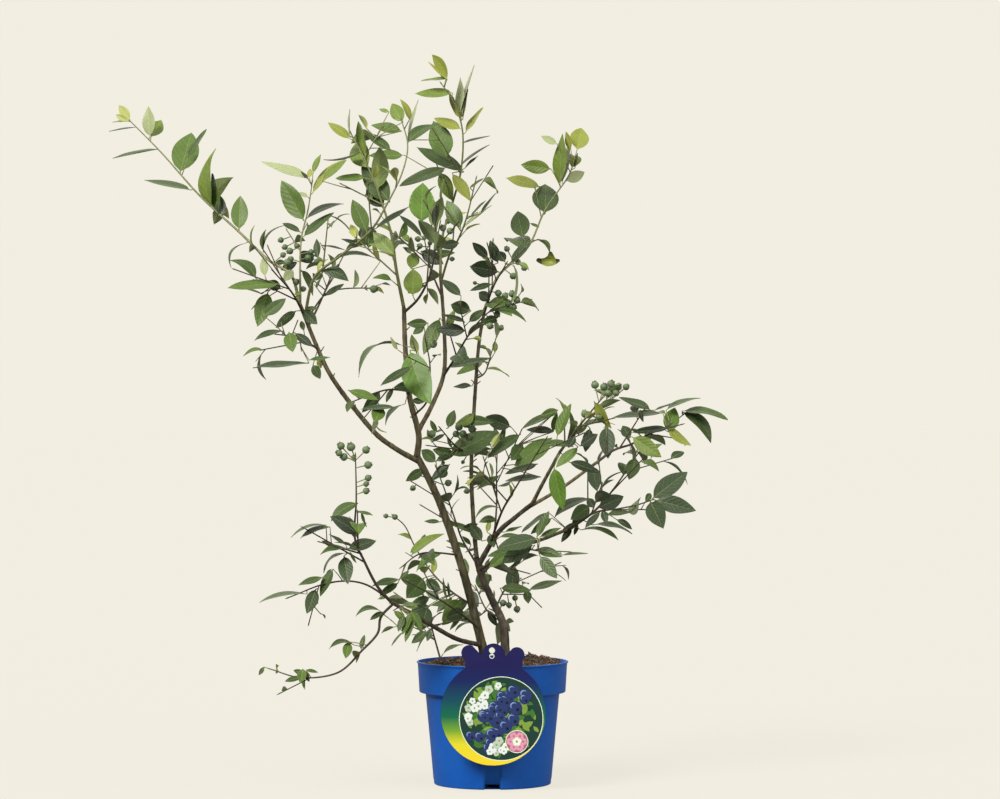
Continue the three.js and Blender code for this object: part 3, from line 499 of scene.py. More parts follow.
def ring_print():
    """The ring's print, which runs with height from navy down to yellow."""
    made, tree, principled = shader("label_ring_print", LABEL_NAVY, PRINT_ROUGHNESS, **GLOSS_FILM)
    place = node(tree, "TexCoord")
    parts = node(tree, "SeparateXYZ")
    foot, top = (LABEL_CENTRE[1] - LABEL_RADIUS) * MM, (LABEL_CENTRE[1] + LABEL_RADIUS) * MM
    height = node(tree, "MapRange", From_Min=foot, From_Max=top)
    ramp = node(tree, "ValToRGB")
    for stop, _ in RING_STOPS[1:-1]:
        ramp.color_ramp.elements.new(stop)
    for element, (stop, colour) in zip(ramp.color_ramp.elements, RING_STOPS):
        element.position, element.color = stop, colour
    wire(
        tree, (place, "Object", parts, 0), (parts, "Z", height, "Value"), (height, 0, ramp, "Fac"),
        (ramp, "Color", principled, "Base Color"),
    )
    return made


LABEL_INKS = {
    "navy": LABEL_NAVY, "cream": srgb(206, 218, 196), "ground": srgb(20, 52, 44), "leaf": srgb(56, 104, 40),
    "young_leaf": srgb(112, 142, 56), "fruit": srgb(34, 48, 96), "bloom": srgb(116, 140, 184),
    "crown": srgb(12, 16, 36), "white": srgb(206, 212, 212), "cream_petal": srgb(170, 184, 168),
    "pink": srgb(198, 138, 160), "rose": srgb(156, 84, 112),
}
INK_SLOTS = {name: i for i, name in enumerate(LABEL_INKS)}
label_materials = [ink(f"label_ink_{name}", colour) for name, colour in LABEL_INKS.items()] + [ring_print()]
RING = len(label_materials) - 1


def card_outline():
    """The card's outline, anticlockwise as seen from the front: disc, neck and lobes as one line."""
    shapes = [(*LABEL_CENTRE, LABEL_RADIUS), *LABEL_LOBES]
    left, right, top = LABEL_NECK
    middle_x, middle_z = (left + right) / 2, LABEL_WAIST

    def reach(turn):
        """How far the card goes from its neck's middle in that direction."""
        far = 0.0
        aim = np.array((math.cos(turn), math.sin(turn)))
        for x, z, radius in shapes:
            to = np.array((x - middle_x, z - middle_z))
            along = to @ aim
            inside = radius**2 - (to @ to - along**2)
            if inside > 0:
                far = max(far, along + math.sqrt(inside))
        if aim[1] > 0:
            rise, side = max(aim[1], 1e-6), max(abs(aim[0]), 1e-6)
            far = max(far, min((top - middle_z) / rise, (right - middle_x) / side))
        return far

    turns = np.linspace(0, 2 * math.pi, 361)[:-1]
    return [(middle_x + reach(t) * math.cos(t), middle_z + reach(t) * math.sin(t)) for t in turns]


def slab(outlines, front, back):
    """A thin upright plate between two places along y: its outline of (x, z), then those of its holes."""
    flat_points = [point for outline in outlines for point in outline]
    count = len(flat_points)
    fill = tessellate_polygon([[Vector((x, z, 0.0)) for x, z in outline] for outline in outlines])
    faces = []
    for a, b, c in fill:
        (ax, az), (bx, bz), (cx, cz) = flat_points[a], flat_points[b], flat_points[c]
        if (bx - ax) * (cz - az) < (cx - ax) * (bz - az):
            b, c = c, b
        faces += [(a, b, c), (count + a, count + c, count + b)]
    first = 0
    for n, outline in enumerate(outlines):
        ring = list(range(first, first + len(outline)))
        ring = ring if n == 0 else ring[::-1]
        faces += [(i, count + i, count + j, j) for i, j in zip(ring, ring[1:] + ring[:1])]
        first += len(outline)
    points = [(x, front, z) for x, z in flat_points] + [(x, back, z) for x, z in flat_points]
    return np.array(points), faces


def blade_outline(x, z, length, width, aim):
    """The pointed oval of a printed leaf."""
    shares = np.linspace(0, 1, 7)
    half = width / 2 * np.sin(math.pi * shares)
    along = np.concatenate([shares, shares[-2:0:-1]]) * length
    out = np.concatenate([-half, half[-2:0:-1]])
    return [
        (x + a * math.cos(aim) - o * math.sin(aim), z + a * math.sin(aim) + o * math.cos(aim))
        for a, o in zip(along, out)
    ]


card = Pile(smooth=False)
hole_outlines = [round_outline(*hole, 24) for hole in LABEL_HOLES]
card.add(*slab([card_outline(), *hole_outlines], label_front, label_back), INK_SLOTS["navy"])
over = POT_HEIGHT + LABEL_GAP
leg = -(POT_RIM_RADIUS - POT_WALL - HOOK_REACH)
inner = leg + LABEL_THICK
foot = SOIL_TOP + LABEL_GAP
hook_front = label_back - HOOK_SUNK
hook = [(hook_front, over), (leg, over), (leg, foot), (inner, foot), (inner, over + LABEL_THICK),
        (hook_front, over + LABEL_THICK)]
hook_points, hook_faces = prism(hook, -HOOK_HALF, HOOK_HALF)
card.add(hook_points[:, [2, 0, 1]], hook_faces, INK_SLOTS["navy"])
fitted(card.piece("label_card", label_materials), "label", "label")

# Every printed shape is made a hair prouder than all that lies under it.
printed = Pile(smooth=False)
print_draw = np.random.default_rng(21)


def stamp(outlines, material):
    front = label_front - INK - INK_STEP * (len(printed.points) + 1)
    slot = material if isinstance(material, int) else INK_SLOTS[material]
    printed.add(*slab(outlines, front, label_front + INK_SUNK), slot)


def scatter(count, size):
    """Places in the picture disc and off its inset, as x and z, each with a size between two limits."""
    places = []
    while len(places) < count:
        x, z = np.array(PICTURE_CENTRE) + print_draw.uniform(-1, 1, 2) * PICTURE_RADIUS
        radius = print_draw.uniform(*size)
        inside = math.dist((x, z), PICTURE_CENTRE) + radius <= PICTURE_RADIUS - PICTURE_CLEAR
        if inside and math.dist((x, z), INSET[:2]) >= INSET[2] * 0.6:
            places.append((x, z, radius))
    return places


def in_fruit_drift(x, z):
    """The fruit lies in a band that runs from the picture's upper right to its lower left."""
    across, up = x - PICTURE_CENTRE[0], z - PICTURE_CENTRE[1]
    return abs(across * DRIFT_SLANT[0] - up * DRIFT_SLANT[1] + DRIFT_SHIFT) < DRIFT_HALF


def blossom(x, z, radius, petal, centre):
    start = print_draw.uniform(0, math.pi)
    for i in range(5):
        turn = start + 2 * math.pi * i / 5
        at = (x + radius * 0.5 * math.cos(turn), z + radius * 0.5 * math.sin(turn))
        stamp([round_outline(*at, radius * 0.48, 14)], petal)
    stamp([round_outline(x, z, radius * 0.24, 10)], centre)


stamp([round_outline(*LABEL_CENTRE, LABEL_RADIUS - 0.3, 120)], RING)
for x, z, radius in LABEL_HOLES:
    stamp([round_outline(x, z, radius + EYELET, 24), round_outline(x, z, radius + 0.05, 24)], "cream")
stamp([round_outline(*PICTURE_CENTRE, PICTURE_RADIUS, 120)], "cream")
stamp([round_outline(*PICTURE_CENTRE, PICTURE_RADIUS - PICTURE_LINE, 120)], "ground")
for x, z, radius in scatter(*PRINTED_LEAVES):
    aim = print_draw.uniform(0, 2 * math.pi)
    tint = "leaf" if print_draw.random() < 0.62 else "young_leaf"
    foot_x, foot_z = x - radius * math.cos(aim), z - radius * math.sin(aim)
    stamp([blade_outline(foot_x, foot_z, 2 * radius, radius * 0.95, aim)], tint)
for x, z, radius in scatter(*PRINTED_FRUIT):
    if in_fruit_drift(x, z):
        stamp([round_outline(x, z, radius, 24)], "fruit")
        stamp([round_outline(x - radius * 0.28, z + radius * 0.32, radius * 0.5, 18)], "bloom")
        stamp([round_outline(x - radius * 0.16, z + radius * 0.2, radius * 0.46, 18)], "fruit")
        stamp([round_outline(x + radius * 0.34, z - radius * 0.3, radius * 0.26, 10)], "crown")
for x, z, radius in scatter(*PRINTED_BLOSSOM):
    if not in_fruit_drift(x, z) and x < PICTURE_CENTRE[0] + 8.0:
        blossom(x, z, radius, "white" if print_draw.random() < 0.6 else "cream_petal", "young_leaf")
stamp([round_outline(*INSET, 40)], "cream")
stamp([round_outline(*INSET[:2], INSET[2] - PICTURE_LINE, 40)], "rose")
for turn in np.linspace(0, 2 * math.pi, 7)[:-1]:
    spread = INSET[2] * 0.55
    x, z = INSET[0] + spread * math.cos(turn), INSET[1] + spread * math.sin(turn)
    blossom(x, z, INSET[2] * 0.36, "pink", "rose")
blossom(INSET[0], INSET[1], INSET[2] * 0.4, "cream", "rose")
fitted(printed.piece("label_print", label_materials), "label")

# ---------------- stems and boughs
# The woody frame: two stems out of the compost, a leader, boughs and a tall cane. Old wood is
# brown-grey and fissured lengthwise; the canes above it are smoother, olive to tan, with nodes
# every few centimetres and short dead spurs.


def by_column(columns, rows):
    """The rows of a table, each as a dictionary by the names of its columns."""
    return {name: dict(zip(columns.split(), row)) for name, row in rows.items()}


# A row gives the limb that carries this one, the share of that limb's length where it leaves, its
# radius at foot and tip, how much its foot flares, and the points that its path runs through.
LIMBS = by_column("carrier at thick flare path", {
    "main_stem": (None, None, (5.8, 4.2), 2, [(-5, 0, 140), (-35, -8, 260), (-65, -15, 350),
        (-94, -18, 410)]),
    "second_stem": (None, None, (6, 3.6), 1.5, [(16, 12, 140), (14, 16, 195), (0, 22, 227), (-14, 28, 258),
        (-20, 30, 280)]),
    "left_bough": ("main_stem", 0.97, (3.4, 2.3), 0, [(-121, -32, 420), (-150, -45, 444), (-196, -52, 504),
        (-218, -50, 548), (-239, -42, 600)]),
    "leader_bough": ("main_stem", 1, (3.9, 2.7), 0, [(-92, -24, 438), (-103, -32, 484), (-108, -34, 540),
        (-110, -32, 594)]),
    "centre_bough": ("leader_bough", 0.17, (3, 2), 0, [(-75, 5, 475), (-61, 22, 515), (-61, 32, 570),
        (-66, 40, 640)]),
    "tall_cane": ("second_stem", 1, (2.8, 2), 0, [(-24, 42, 325), (-27, 58, 390), (-24, 66, 460),
        (-18, 72, 546), (-10, 75, 596)]),
    "right_bough": ("second_stem", 0.94, (3.3, 2.6), 0, [(6, 15, 312), (27, -5, 332), (50, -20, 351)]),
    "right_upper_bough": ("right_bough", 1, (2.4, 2), 0, [(60, -40, 372), (83, -75, 416)]),
    "right_outer_bough": ("right_bough", 0.9, (2.3, 1.9), 0, [(67, 5, 358), (93, 30, 373), (134, 62, 402)]),
    "lower_right_bough": ("second_stem", 0.86, (2.6, 2), 0, [(15, 65, 288), (61, 110, 300),
        (103, 145, 315)]),
    "lower_left_bough": ("main_stem", 0.12, (3, 2.3), 0, [(-45, -40, 184), (-80, -75, 206),
        (-124, -110, 234)]),
})
SPINE_STEPS = 8
TUBE_END = 0.6  # how far a stem's end rises, as a share of its radius
FLARE_LENGTH = 14.0
TWIG_TIP = 0.7
AWAY = np.array((0.0, 1.0, 0.0))
UP = np.array((0.0, 0.0, 1.0))
BARK_RING_STEP = 2.0
BARK_SIDES = 28
BARK_SMOOTH_WAY = 3.0


def unit(vector):
    return vector / math.sqrt(vector @ vector)


def cross(a, b):
    return np.array((a[1] * b[2] - a[2] * b[1], a[2] * b[0] - a[0] * b[2], a[0] * b[1] - a[1] * b[0]))


class Spine:
    """A stem's middle line: a smooth curve through its points, as straight steps with its radii."""

    def __init__(self, points, thick, flare=0.0):
        points = np.array(points, float)
        ends = (2 * points[0] - points[1], 2 * points[-1] - points[-2])
        around = np.concatenate([[ends[0]], points, [ends[1]]])
        line = [points[0]]
        for i in range(len(points) - 1):
            before, start, end, after = around[i:i + 4]
            leave, arrive = 0.5 * (end - before), 0.5 * (after - start)
            for k in range(1, SPINE_STEPS + 1):
                t = k / SPINE_STEPS
                square = -3 * start + 3 * end - 2 * leave - arrive
                cube = 2 * start - 2 * end + leave + arrive
                line.append(start + leave * t + square * t**2 + cube * t**3)
        self.line = np.array(line)
        steps = np.diff(self.line, axis=0)
        sizes = np.sqrt((steps**2).sum(1))
        self.along = np.concatenate([[0.0], np.cumsum(sizes)])
        self.length = self.along[-1]
        self.directions = steps / sizes[:, None]
        self.thick, self.flare = thick, flare

    def step(self, s):
        return min(max(int(np.searchsorted(self.along, s)), 1), len(self.line) - 1)

    def point(self, s):
        i = self.step(s)
        share = (s - self.along[i - 1]) / (self.along[i] - self.along[i - 1])
        return self.line[i - 1] + (self.line[i] - self.line[i - 1]) * share

    def direction(self, s):
        return self.directions[self.step(s) - 1]

    def radius(self, s):
        foot, tip = self.thick
        share = min(max(s / self.length, 0.0), 1.0)
        return foot + (tip - foot) * share + self.flare * math.exp(-s / FLARE_LENGTH)


spines = {}


def grow_spine(name, plan, thick, flare=0.0):
    points = list(plan["path"])
    if plan["carrier"]:
        carrier = spines[plan["carrier"]]
        points.insert(0, carrier.point(carrier.length * plan["at"]))
    spines[name] = Spine(points, thick, flare)


def across_at(direction, turn):
    """Across the stem at angle `turn`; turn 0 lies in the upright plane that runs left to right."""
    side = unit(cross(direction, AWAY))
    other = unit(cross(side, direction))
    return side * math.cos(turn) + other * math.sin(turn)


def tube(spine, sides, spacing, smooth_way=0.6, radius_at=None):
    """A tapering tube along a stem with a rounded end; radius_at(s, turn) can shape its skin."""
    count = max(2, round(spine.length / spacing))
    points = []
    for k in range(count + 1):
        s = spine.length * k / count
        before, after = max(0.0, s - smooth_way), min(spine.length, s + smooth_way)
        way = unit((spine.direction(before) + spine.direction(after)) / 2)
        centre, side = spine.point(s), unit(cross(way, AWAY))
        other = cross(side, way)
        for j in range(sides):
            turn = -2 * math.pi * j / sides
            out = side * math.cos(turn) + other * math.sin(turn)
            points.append(centre + out * (radius_at(s, turn) if radius_at else spine.radius(s)))
    points += [spine.point(0.0), centre + way * spine.radius(s) * TUBE_END]
    return np.array(points), ring_skin(count + 1, sides)


def bark_grain():
    """Long fissures and plates up the wood, with lichen in patches."""
    group, start, end = effect_group(
        "Bark Grain", Colour=(0.1, 0.08, 0.05, 1), Ridge_Colour=(0.2, 0.17, 0.13, 1),
        Lichen_Colour=(0.3, 0.32, 0.28, 1), Scale=260.0, Lichen=0.2,
    )
    place = node(group, "TexCoord")
    stretched = node(group, "Mapping", Scale=(1.0, 1.0, 0.16))
    fissures = node(group, "TexNoise", Detail=6.0, Roughness=0.65)
    patches = node(group, "TexNoise", Scale=55.0, Detail=4.0, Roughness=0.7)
    ridge = node(group, "MapRange", From_Min=0.38, From_Max=0.66)
    patch = node(group, "MapRange", From_Min=0.55, From_Max=0.68)
    overgrown = node(group, "Math", operation="MULTIPLY", use_clamp=True)
    wood = node(group, "Mix", data_type="RGBA")
    dressed = node(group, "Mix", data_type="RGBA")
    wire(
        group, (place, "Object", stretched, "Vector"), (stretched, "Vector", fissures, "Vector"),
        (start, "Scale", fissures, "Scale"), (place, "Object", patches, "Vector"),
        (fissures, "Fac", ridge, "Value"), (patches, "Fac", patch, "Value"), (patch, 0, overgrown, 0),
        (start, "Lichen", overgrown, 1), (ridge, 0, wood, 0), (start, "Colour", wood, 6),
        (start, "Ridge Colour", wood, 7), (overgrown, 0, dressed, 0), (wood, 2, dressed, 6),
        (start, "Lichen Colour", dressed, 7), (dressed, 2, end, "Colour"), (fissures, "Fac", end, "Height"),
    )
    return group


BARK_GRAIN = bark_grain()
LICHEN_GREY = srgb(126, 126, 106)


def bark(name, colour, ridge, lichen, relief, scale=260.0, roughness=0.85):
    values = dict(Ridge_Colour=ridge, Lichen_Colour=LICHEN_GREY, Lichen=lichen, Scale=scale)
    return textured(name, colour, roughness, BARK_GRAIN, values, relief, 0.0008)


OLD_BARK = bark("bark_old_brown_grey", srgb(34, 29, 22), srgb(84, 74, 58), 0.35, 0.9)
OLIVE_BARK = bark("bark_olive_brown", srgb(42, 39, 24), srgb(92, 84, 56), 0.25, 0.8)
TAN_BARK = bark("bark_tan_cane", srgb(56, 50, 33), srgb(108, 98, 68), 0.2, 0.6)
RED_BARK = bark("bark_red_brown_twig", srgb(44, 38, 26), srgb(76, 64, 44), 0.1, 0.4, 420.0, 0.7)
GREEN_BARK = bark("bark_young_green", srgb(90, 96, 54), srgb(128, 130, 84), 0.0, 0.25, 420.0, 0.55)

# Each limb's bark, how rough it is to the touch, and how many dead spurs stand on it.
LIMB_BARK = {
    "main_stem": (OLIVE_BARK, 0.30, 6), "second_stem": (OLD_BARK, 0.45, 6),
    "left_bough": (TAN_BARK, 0.14, 4), "leader_bough": (TAN_BARK, 0.16, 4),
    "centre_bough": (TAN_BARK, 0.12, 0), "tall_cane": (OLIVE_BARK, 0.12, 4),
    "right_bough": (OLD_BARK, 0.25, 0), "right_upper_bough": (TAN_BARK, 0.12, 0),
    "right_outer_bough": (TAN_BARK, 0.12, 0), "lower_right_bough": (OLIVE_BARK, 0.12, 0),
    "lower_left_bough": (OLD_BARK, 0.2, 2),
}
GROOVES = (2.4, 0.035)  # how often they come round the limb, and along it
LUMPS = (0.6, 0.11)  # how high they are beside the grooves, how often they come along it
NODE_GAP = 23.0
KNUCKLE = (0.22, 2.2)  # how far a node stands out, and over how much of the stem
FOOT_SWELL = 0.5
SWELL_LENGTH = 1.6  # in radii of the limb
SPUR_THICK = (0.9, 0.55)
SPUR_LEAN = 0.7
SPUR_LENGTH = (3, 9)
SPURS_ON_LIMB = (0.25, 0.95)


def bark_radius(spine, relief, foot_swell, phase):
    """The skin of a limb: its taper with lengthwise ridges, nodes and a swollen foot."""
    def radius_at(s, turn):
        base = spine.radius(s)
        round_x, round_y = math.cos(turn), math.sin(turn)
        often, along = GROOVES
        grooves = noise.noise(Vector((round_x * often, round_y * often, s * along + phase)))
        lumps = noise.noise(Vector((round_x, round_y, s * LUMPS[1] + phase * 3)))
        from_node = (s + phase * 7) % NODE_GAP - NODE_GAP / 2
        knuckle = KNUCKLE[0] * math.exp(-(from_node / KNUCKLE[1]) ** 2)
        swollen = foot_swell * math.exp(-s / (base * SWELL_LENGTH))
        return base + relief * (grooves + LUMPS[0] * lumps) + knuckle + swollen
    return radius_at


wood_draw = np.random.default_rng(5)
for limb, plan in LIMBS.items():
    grow_spine(limb, plan, plan["thick"], plan["flare"])
for phase, (limb, plan) in enumerate(LIMBS.items()):
    spine = spines[limb]
    material, relief, spurs = LIMB_BARK[limb]
    wood = Pile()
    swell = FOOT_SWELL if plan["carrier"] else 0.0
    skin = bark_radius(spine, relief, swell, phase)
    wood.add(*tube(spine, BARK_SIDES, BARK_RING_STEP, BARK_SMOOTH_WAY, skin))
    for _ in range(spurs):
        s = spine.length * wood_draw.uniform(*SPURS_ON_LIMB)
        way, root = spine.direction(s), spine.point(s)
        out = unit(across_at(way, wood_draw.uniform(0, 2 * math.pi)) + way * SPUR_LEAN)
        spur = Spine([root, root + out * (spine.radius(s) + wood_draw.uniform(*SPUR_LENGTH))], SPUR_THICK)
        wood.add(*tube(spur, 8, 2.0), 1)
    piece = wood.piece(f"{limb}_wood", [material, OLD_BARK])
    fitted(piece, "bark", limb)

# ---------------- how a shoot grows
# Leaves stand one by one round the shoot in a spiral, shorter towards its tip; side twigs take the
# same habit. Every shoot keeps to its own space, clear of limbs, pot, label and its neighbours.

# A row gives the limb that carries the shoot, the share of that limb's length where it leaves, its
# radius there, the bare share of its stem, its leaves' length, how many side twigs it has and how
# long they are, how many berries hang at its tip, the seed of its draws, its path, and on a few the
# share of the stem where leaves end.
SHOOTS = by_column("carrier at thick bare leaf twigs twig berries seed path leaf_to", {
    "left_tip": ("left_bough", 1, 2, 0.25, 64, 0, 55, 0, 3, [(-250, -35, 635), (-280, -15, 655),
        (-317, 10, 690), (-370, 45, 738), (-421, 75, 794), (-465, 100, 838)]),
    "left_crown": ("left_bough", 0.95, 1.6, 0.2, 46, 5, 66, 5, 12, [(-247, -80, 613), (-268, -115, 638)]),
    "left_crown_back": ("left_bough", 0.88, 1.6, 0.3, 46, 4, 62, 5, 13, [(-214, -5, 605), (-200, 30, 645)]),
    "left_riser": ("left_bough", 0.99, 1.5, 0.25, 52, 2, 50, 0, 3, [(-240, 0, 675), (-232, 18, 718),
        (-227, 30, 756)]),
    "left_cross": ("left_bough", 0.93, 2, 0.12, 56, 3, 56, 0, 1, [(-219, -75, 630), (-186, -100, 656),
        (-149, -118, 685), (-129, -125, 716), (-110, -122, 755), (-103, -115, 790), (-111, -110, 822)]),
    "left_side_twig": ("left_bough", 0.91, 1.3, 0.3, 30, 1, 30, 1, 16, [(-210, 5, 612), (-188, 30, 620),
        (-150, 60, 622)]),
    "left_low_leaves": ("left_bough", 0.76, 1.3, 0.25, 50, 4, 50, 0, 17, [(-236, -88, 556),
        (-264, -122, 560)]),
    "leader_top": ("leader_bough", 1, 2.3, 0.08, 60, 4, 66, 0, 9, [(-119, -45, 641), (-124, -55, 680),
        (-133, -60, 713), (-150, -58, 760), (-176, -48, 812)]),
    "leader_right": ("leader_bough", 0.97, 1.8, 0.3, 62, 4, 58, 0, 19, [(-90, -60, 607), (-75, -85, 638),
        (-70, -95, 677), (-70, -95, 718)]),
    "leader_left_low": ("leader_bough", 0.45, 1.4, 0.2, 40, 2, 50, 0, 20, [(-132, -75, 492),
        (-170, -115, 478)]),
    "leader_front": ("leader_bough", 0.28, 1.4, 0.3, 72, 2, 50, 1, 21, [(-80, -75, 480), (-76, -105, 520),
        (-82, -115, 556)]),
    "top_shoot": ("centre_bough", 1, 1.8, 0.3, 54, 4, 66, 0, 18, [(-64, 55, 685), (-51, 65, 730),
        (-40, 62, 772), (-38, 53, 820), (-49, 44, 856), (-65, 40, 880)]),
    "centre_top_right": ("centre_bough", 0.95, 1.6, 0.25, 54, 3, 60, 0, 8, [(-54, 10, 662), (-43, -10, 680),
        (-32, -30, 707), (-20, -45, 755)]),
    "centre_berries": ("centre_bough", 0.86, 1.5, 0.3, 48, 4, 58, 8, 24, [(-80, 90, 650), (-88, 118, 688)]),
    "centre_right_berries": ("centre_bough", 0.4, 1.6, 0.2, 50, 4, 60, 7, 25, [(-45, -10, 535),
        (-32, -30, 557), (-14, -50, 580), (14, -70, 603)]),
    "upper_right": ("tall_cane", 1, 1.9, 0.25, 70, 1, 50, 0, 11, [(7, 90, 638), (45, 120, 676),
        (68, 140, 726), (97, 150, 768), (106, 152, 792)]),
    "upper_right_inner": ("tall_cane", 0.97, 1.5, 0.25, 48, 4, 58, 5, 27, [(0, 30, 620), (18, 0, 652)]),
    "cane_mid": ("tall_cane", 0.72, 1.3, 0.2, 44, 3, 46, 0, 28, [(-10, 110, 515), (-3, 146, 534)]),
    "centre_mid": ("tall_cane", 0.42, 1.5, 0.2, 54, 4, 60, 6, 29, [(-46, 15, 422), (-66, -22, 446)]),
    "centre_mid_right": ("right_bough", 0.35, 1.4, 0.35, 54, 5, 62, 0, 3, [(5, 60, 345), (5, 88, 385),
        (6, 100, 420)]),
    "right_inner": ("right_bough", 0.25, 1.7, 0.3, 58, 5, 66, 0, 7, [(12, -40, 342), (32, -85, 378),
        (66, -126, 434)]),
    "right_upper": ("right_upper_bough", 1, 1.9, 0.05, 48, 4, 52, 8, 2, [(98, -90, 437), (115, -100, 459),
        (134, -110, 482)], 0.75),
    "far_right": ("right_outer_bough", 1, 1.8, 0.02, 52, 5, 56, 0, 2, [(154, 72, 416), (178, 80, 424),
        (204, 87, 438), (243, 93, 449)]),
    "right_rise": ("lower_right_bough", 1, 1.8, 0.1, 52, 5, 62, 0, 9, [(134, 170, 337), (160, 195, 366),
        (185, 210, 402), (202, 215, 424)]),
    "right_low": ("lower_right_bough", 0.95, 1.6, 0.15, 52, 3, 52, 0, 2, [(131, 115, 335), (160, 85, 341),
        (185, 65, 347), (203, 50, 354)]),
    "low_right_centre": ("second_stem", 0.9, 1.6, 0.15, 54, 5, 62, 0, 1, [(9, -30, 284), (38, -70, 296),
        (74, -104, 292)]),
    "low_back": ("second_stem", 0.45, 1.4, 0.2, 46, 4, 50, 0, 45, [(-8, 62, 214), (-22, 98, 242)]),
    "low_right_berries": ("second_stem", 0.55, 1.3, 0.2, 48, 4, 54, 4, 37, [(16, 50, 240), (36, 90, 252)]),
    "left_upright": ("lower_left_bough", 1, 2, 0.3, 50, 3, 74, 9, 9, [(-140, -125, 254), (-155, -140, 285),
        (-166, -150, 314), (-164, -155, 360), (-165, -155, 414)], 0.5),
    "left_trailing": ("lower_left_bough", 0.93, 1.4, 0.3, 42, 1, 42, 0, 46, [(-156, -116, 256),
        (-198, -128, 258), (-248, -135, 240)]),
    "left_drooping": ("lower_left_bough", 0.97, 1.7, 0.2, 34, 2, 38, 0, 2, [(-136, -108, 215),
        (-140, -105, 195), (-159, -100, 174), (-189, -90, 146), (-235, -70, 138), (-276, -55, 148)]),
    "left_inner": ("main_stem", 0.3, 1.3, 0.4, 30, 1, 34, 3, 40, [(-54, 35, 240), (-78, 65, 262),
        (-99, 90, 292), (-112, 100, 318), (-128, 105, 332)], 0.85),
    "left_mid_twig": ("main_stem", 0.53, 1.3, 0.25, 40, 1, 38, 0, 41, [(-70, -50, 291), (-91, -75, 290),
        (-112, -100, 275)]),
    "low_centre": ("main_stem", 0.2, 1.6, 0.15, 50, 6, 66, 0, 51, [(-42, -55, 218), (-76, -85, 242),
        (-110, -118, 262)]),
    "compost_shoot": (None, None, 1.4, 0.4, 44, 3, 50, 0, 43, [(-62, 30, 140), (-75, 42, 185),
        (-85, 58, 222)]),
    "centre_inner": ("second_stem", 0.92, 1.4, 0.3, 46, 3, 50, 2, 44, [(-38, 40, 303), (-46, 40, 325),
        (-60, 42, 365), (-72, 45, 396)]),
})
TWIG_FOOT = 1.1
TWIG_SHARE = 0.75
TWIG_END = 0.92
TWIG_PLACE = (0.3, 0.7)
TWIG_TURN = (0.0, 1.2)
TWIG_LEAN = (0.65, 1.1)
TWIG_LENGTH = (0.7, 1.3)
TWIG_RISE = 0.2
TWIG_MIDDLE = 0.55
LEAF_GAP = 28.0
LEAF_FROM_TIP = 2.0
LEAF_GAP_DRAW = (0.85, 1.15)
LEAF_TIP_GAP = 0.4
LEAF_TIP_GAP_STEP = 0.2
LEAF_YOUNG = (0.6, 0.85, 1.0)
LEAF_ON_TWIG = (0.25, 1.0)
LEAF_LENGTH = (0.8, 1.15)
LEAF_SMALLER = 0.1
LEAF_WIDTH = 0.58
LEAF_WIDTH_DRAW = (0.85, 1.1)
LEAF_TURN_DRAW = (-0.25, 0.25)
LEAF_LEAN = 0.95
LEAF_LEAN_LESS = 0.15
LEAF_LEAN_DRAW = (-0.25, 0.25)
LEAF_RISE_DRAW = (-0.22, 0.18)
LEAF_FACE_UP = 0.5
LEAF_TWIST_DRAW = (-1.1, 1.1)
LEAF_ARCH = 0.07
LEAF_DROOP = 0.08
LEAF_ROWS = ((0.34, 0.5), (0.7, 0.38))
LEAF_NEAR_TIP = 0.85
BLADE_WIDTH = 0.76  # a blade is slimmer than the room it is given
BERRY_RADIUS = 5.1
BERRY_RADIUS_DRAW = (0.85, 1.1)
BERRY_STALK = 8.0
BERRY_STALK_DRAW = (0.8, 1.4)
BERRY_CLUSTER = 0.28
BERRY_LEAN = (0.4, 1.5)
BERRY_FALL = -0.25
BERRY_APART = 1.03
BERRY_FROM_TWIG = 2.0
BERRY_TRIES = 8
CROWD = 9.5
NEAR_TWIG = 1.6
TRIES = 4
TURN = math.radians(137.5)
MARGIN = 1.2
POT_ZONE_RADIUS = POT_RIM_RADIUS + 4
POT_ZONE_TOP = POT_HEIGHT + 3
LABEL_ZONE_HALF = LABEL_RADIUS + 6
LABEL_ZONE_BACK = 4 - POT_RIM_RADIUS
LABEL_ZONE_TOP = 190.0
SEED_FACTOR, SEED_STEP = 7919, 17
DRAW_FACTOR, DRAW_STEP, DRAW_RANGE = 1664525, 1013904223, 2**32
DRAWS_SKIPPED = 5


def draws_from(seed):
    """The same draws every time: a plain linear congruential generator."""
    state = seed * SEED_FACTOR + SEED_STEP

    def draw():
        nonlocal state
        state = (state * DRAW_FACTOR + DRAW_STEP) % DRAW_RANGE
        return state / DRAW_RANGE

    for _ in range(DRAWS_SKIPPED):
        draw()
    return draw


def between(draw, limits):
    low, high = limits
    return low + (high - low) * draw()


def leaning(direction, across, lean):
    """A heading that leans from `direction` by the angle `lean`, towards `across`."""
    return direction * math.cos(lean) + across * math.sin(lean)


class Thicket:
    """The straight steps of several stems, for the distance from a point to each of them."""

    def __init__(self, members):
        self.foot = np.concatenate([m.line[:-1] for m in members])
        self.run = np.concatenate([np.diff(m.line, axis=0) for m in members])
        self.square = (self.run**2).sum(1)
        counts = [len(m.line) - 1 for m in members]
        self.starts = np.concatenate([[0], np.cumsum(counts)[:-1]])

    def distances(self, point):
        off = point - self.foot
        share = np.clip((off * self.run).sum(1) / self.square, 0.0, 1.0)
        gap = off - self.run * share[:, None]
        return np.sqrt(np.minimum.reduceat((gap**2).sum(1), self.starts))


for shoot, plan in SHOOTS.items():
    grow_spine(shoot, plan, (plan["thick"], TWIG_TIP))
limb_thicket = Thicket([spines[name] for name in LIMBS])
limb_room = np.array([LIMBS[name]["thick"][0] + MARGIN for name in LIMBS])
shoot_thicket = Thicket([spines[name] for name in SHOOTS])
shoot_order = {name: i for i, name in enumerate(SHOOTS)}


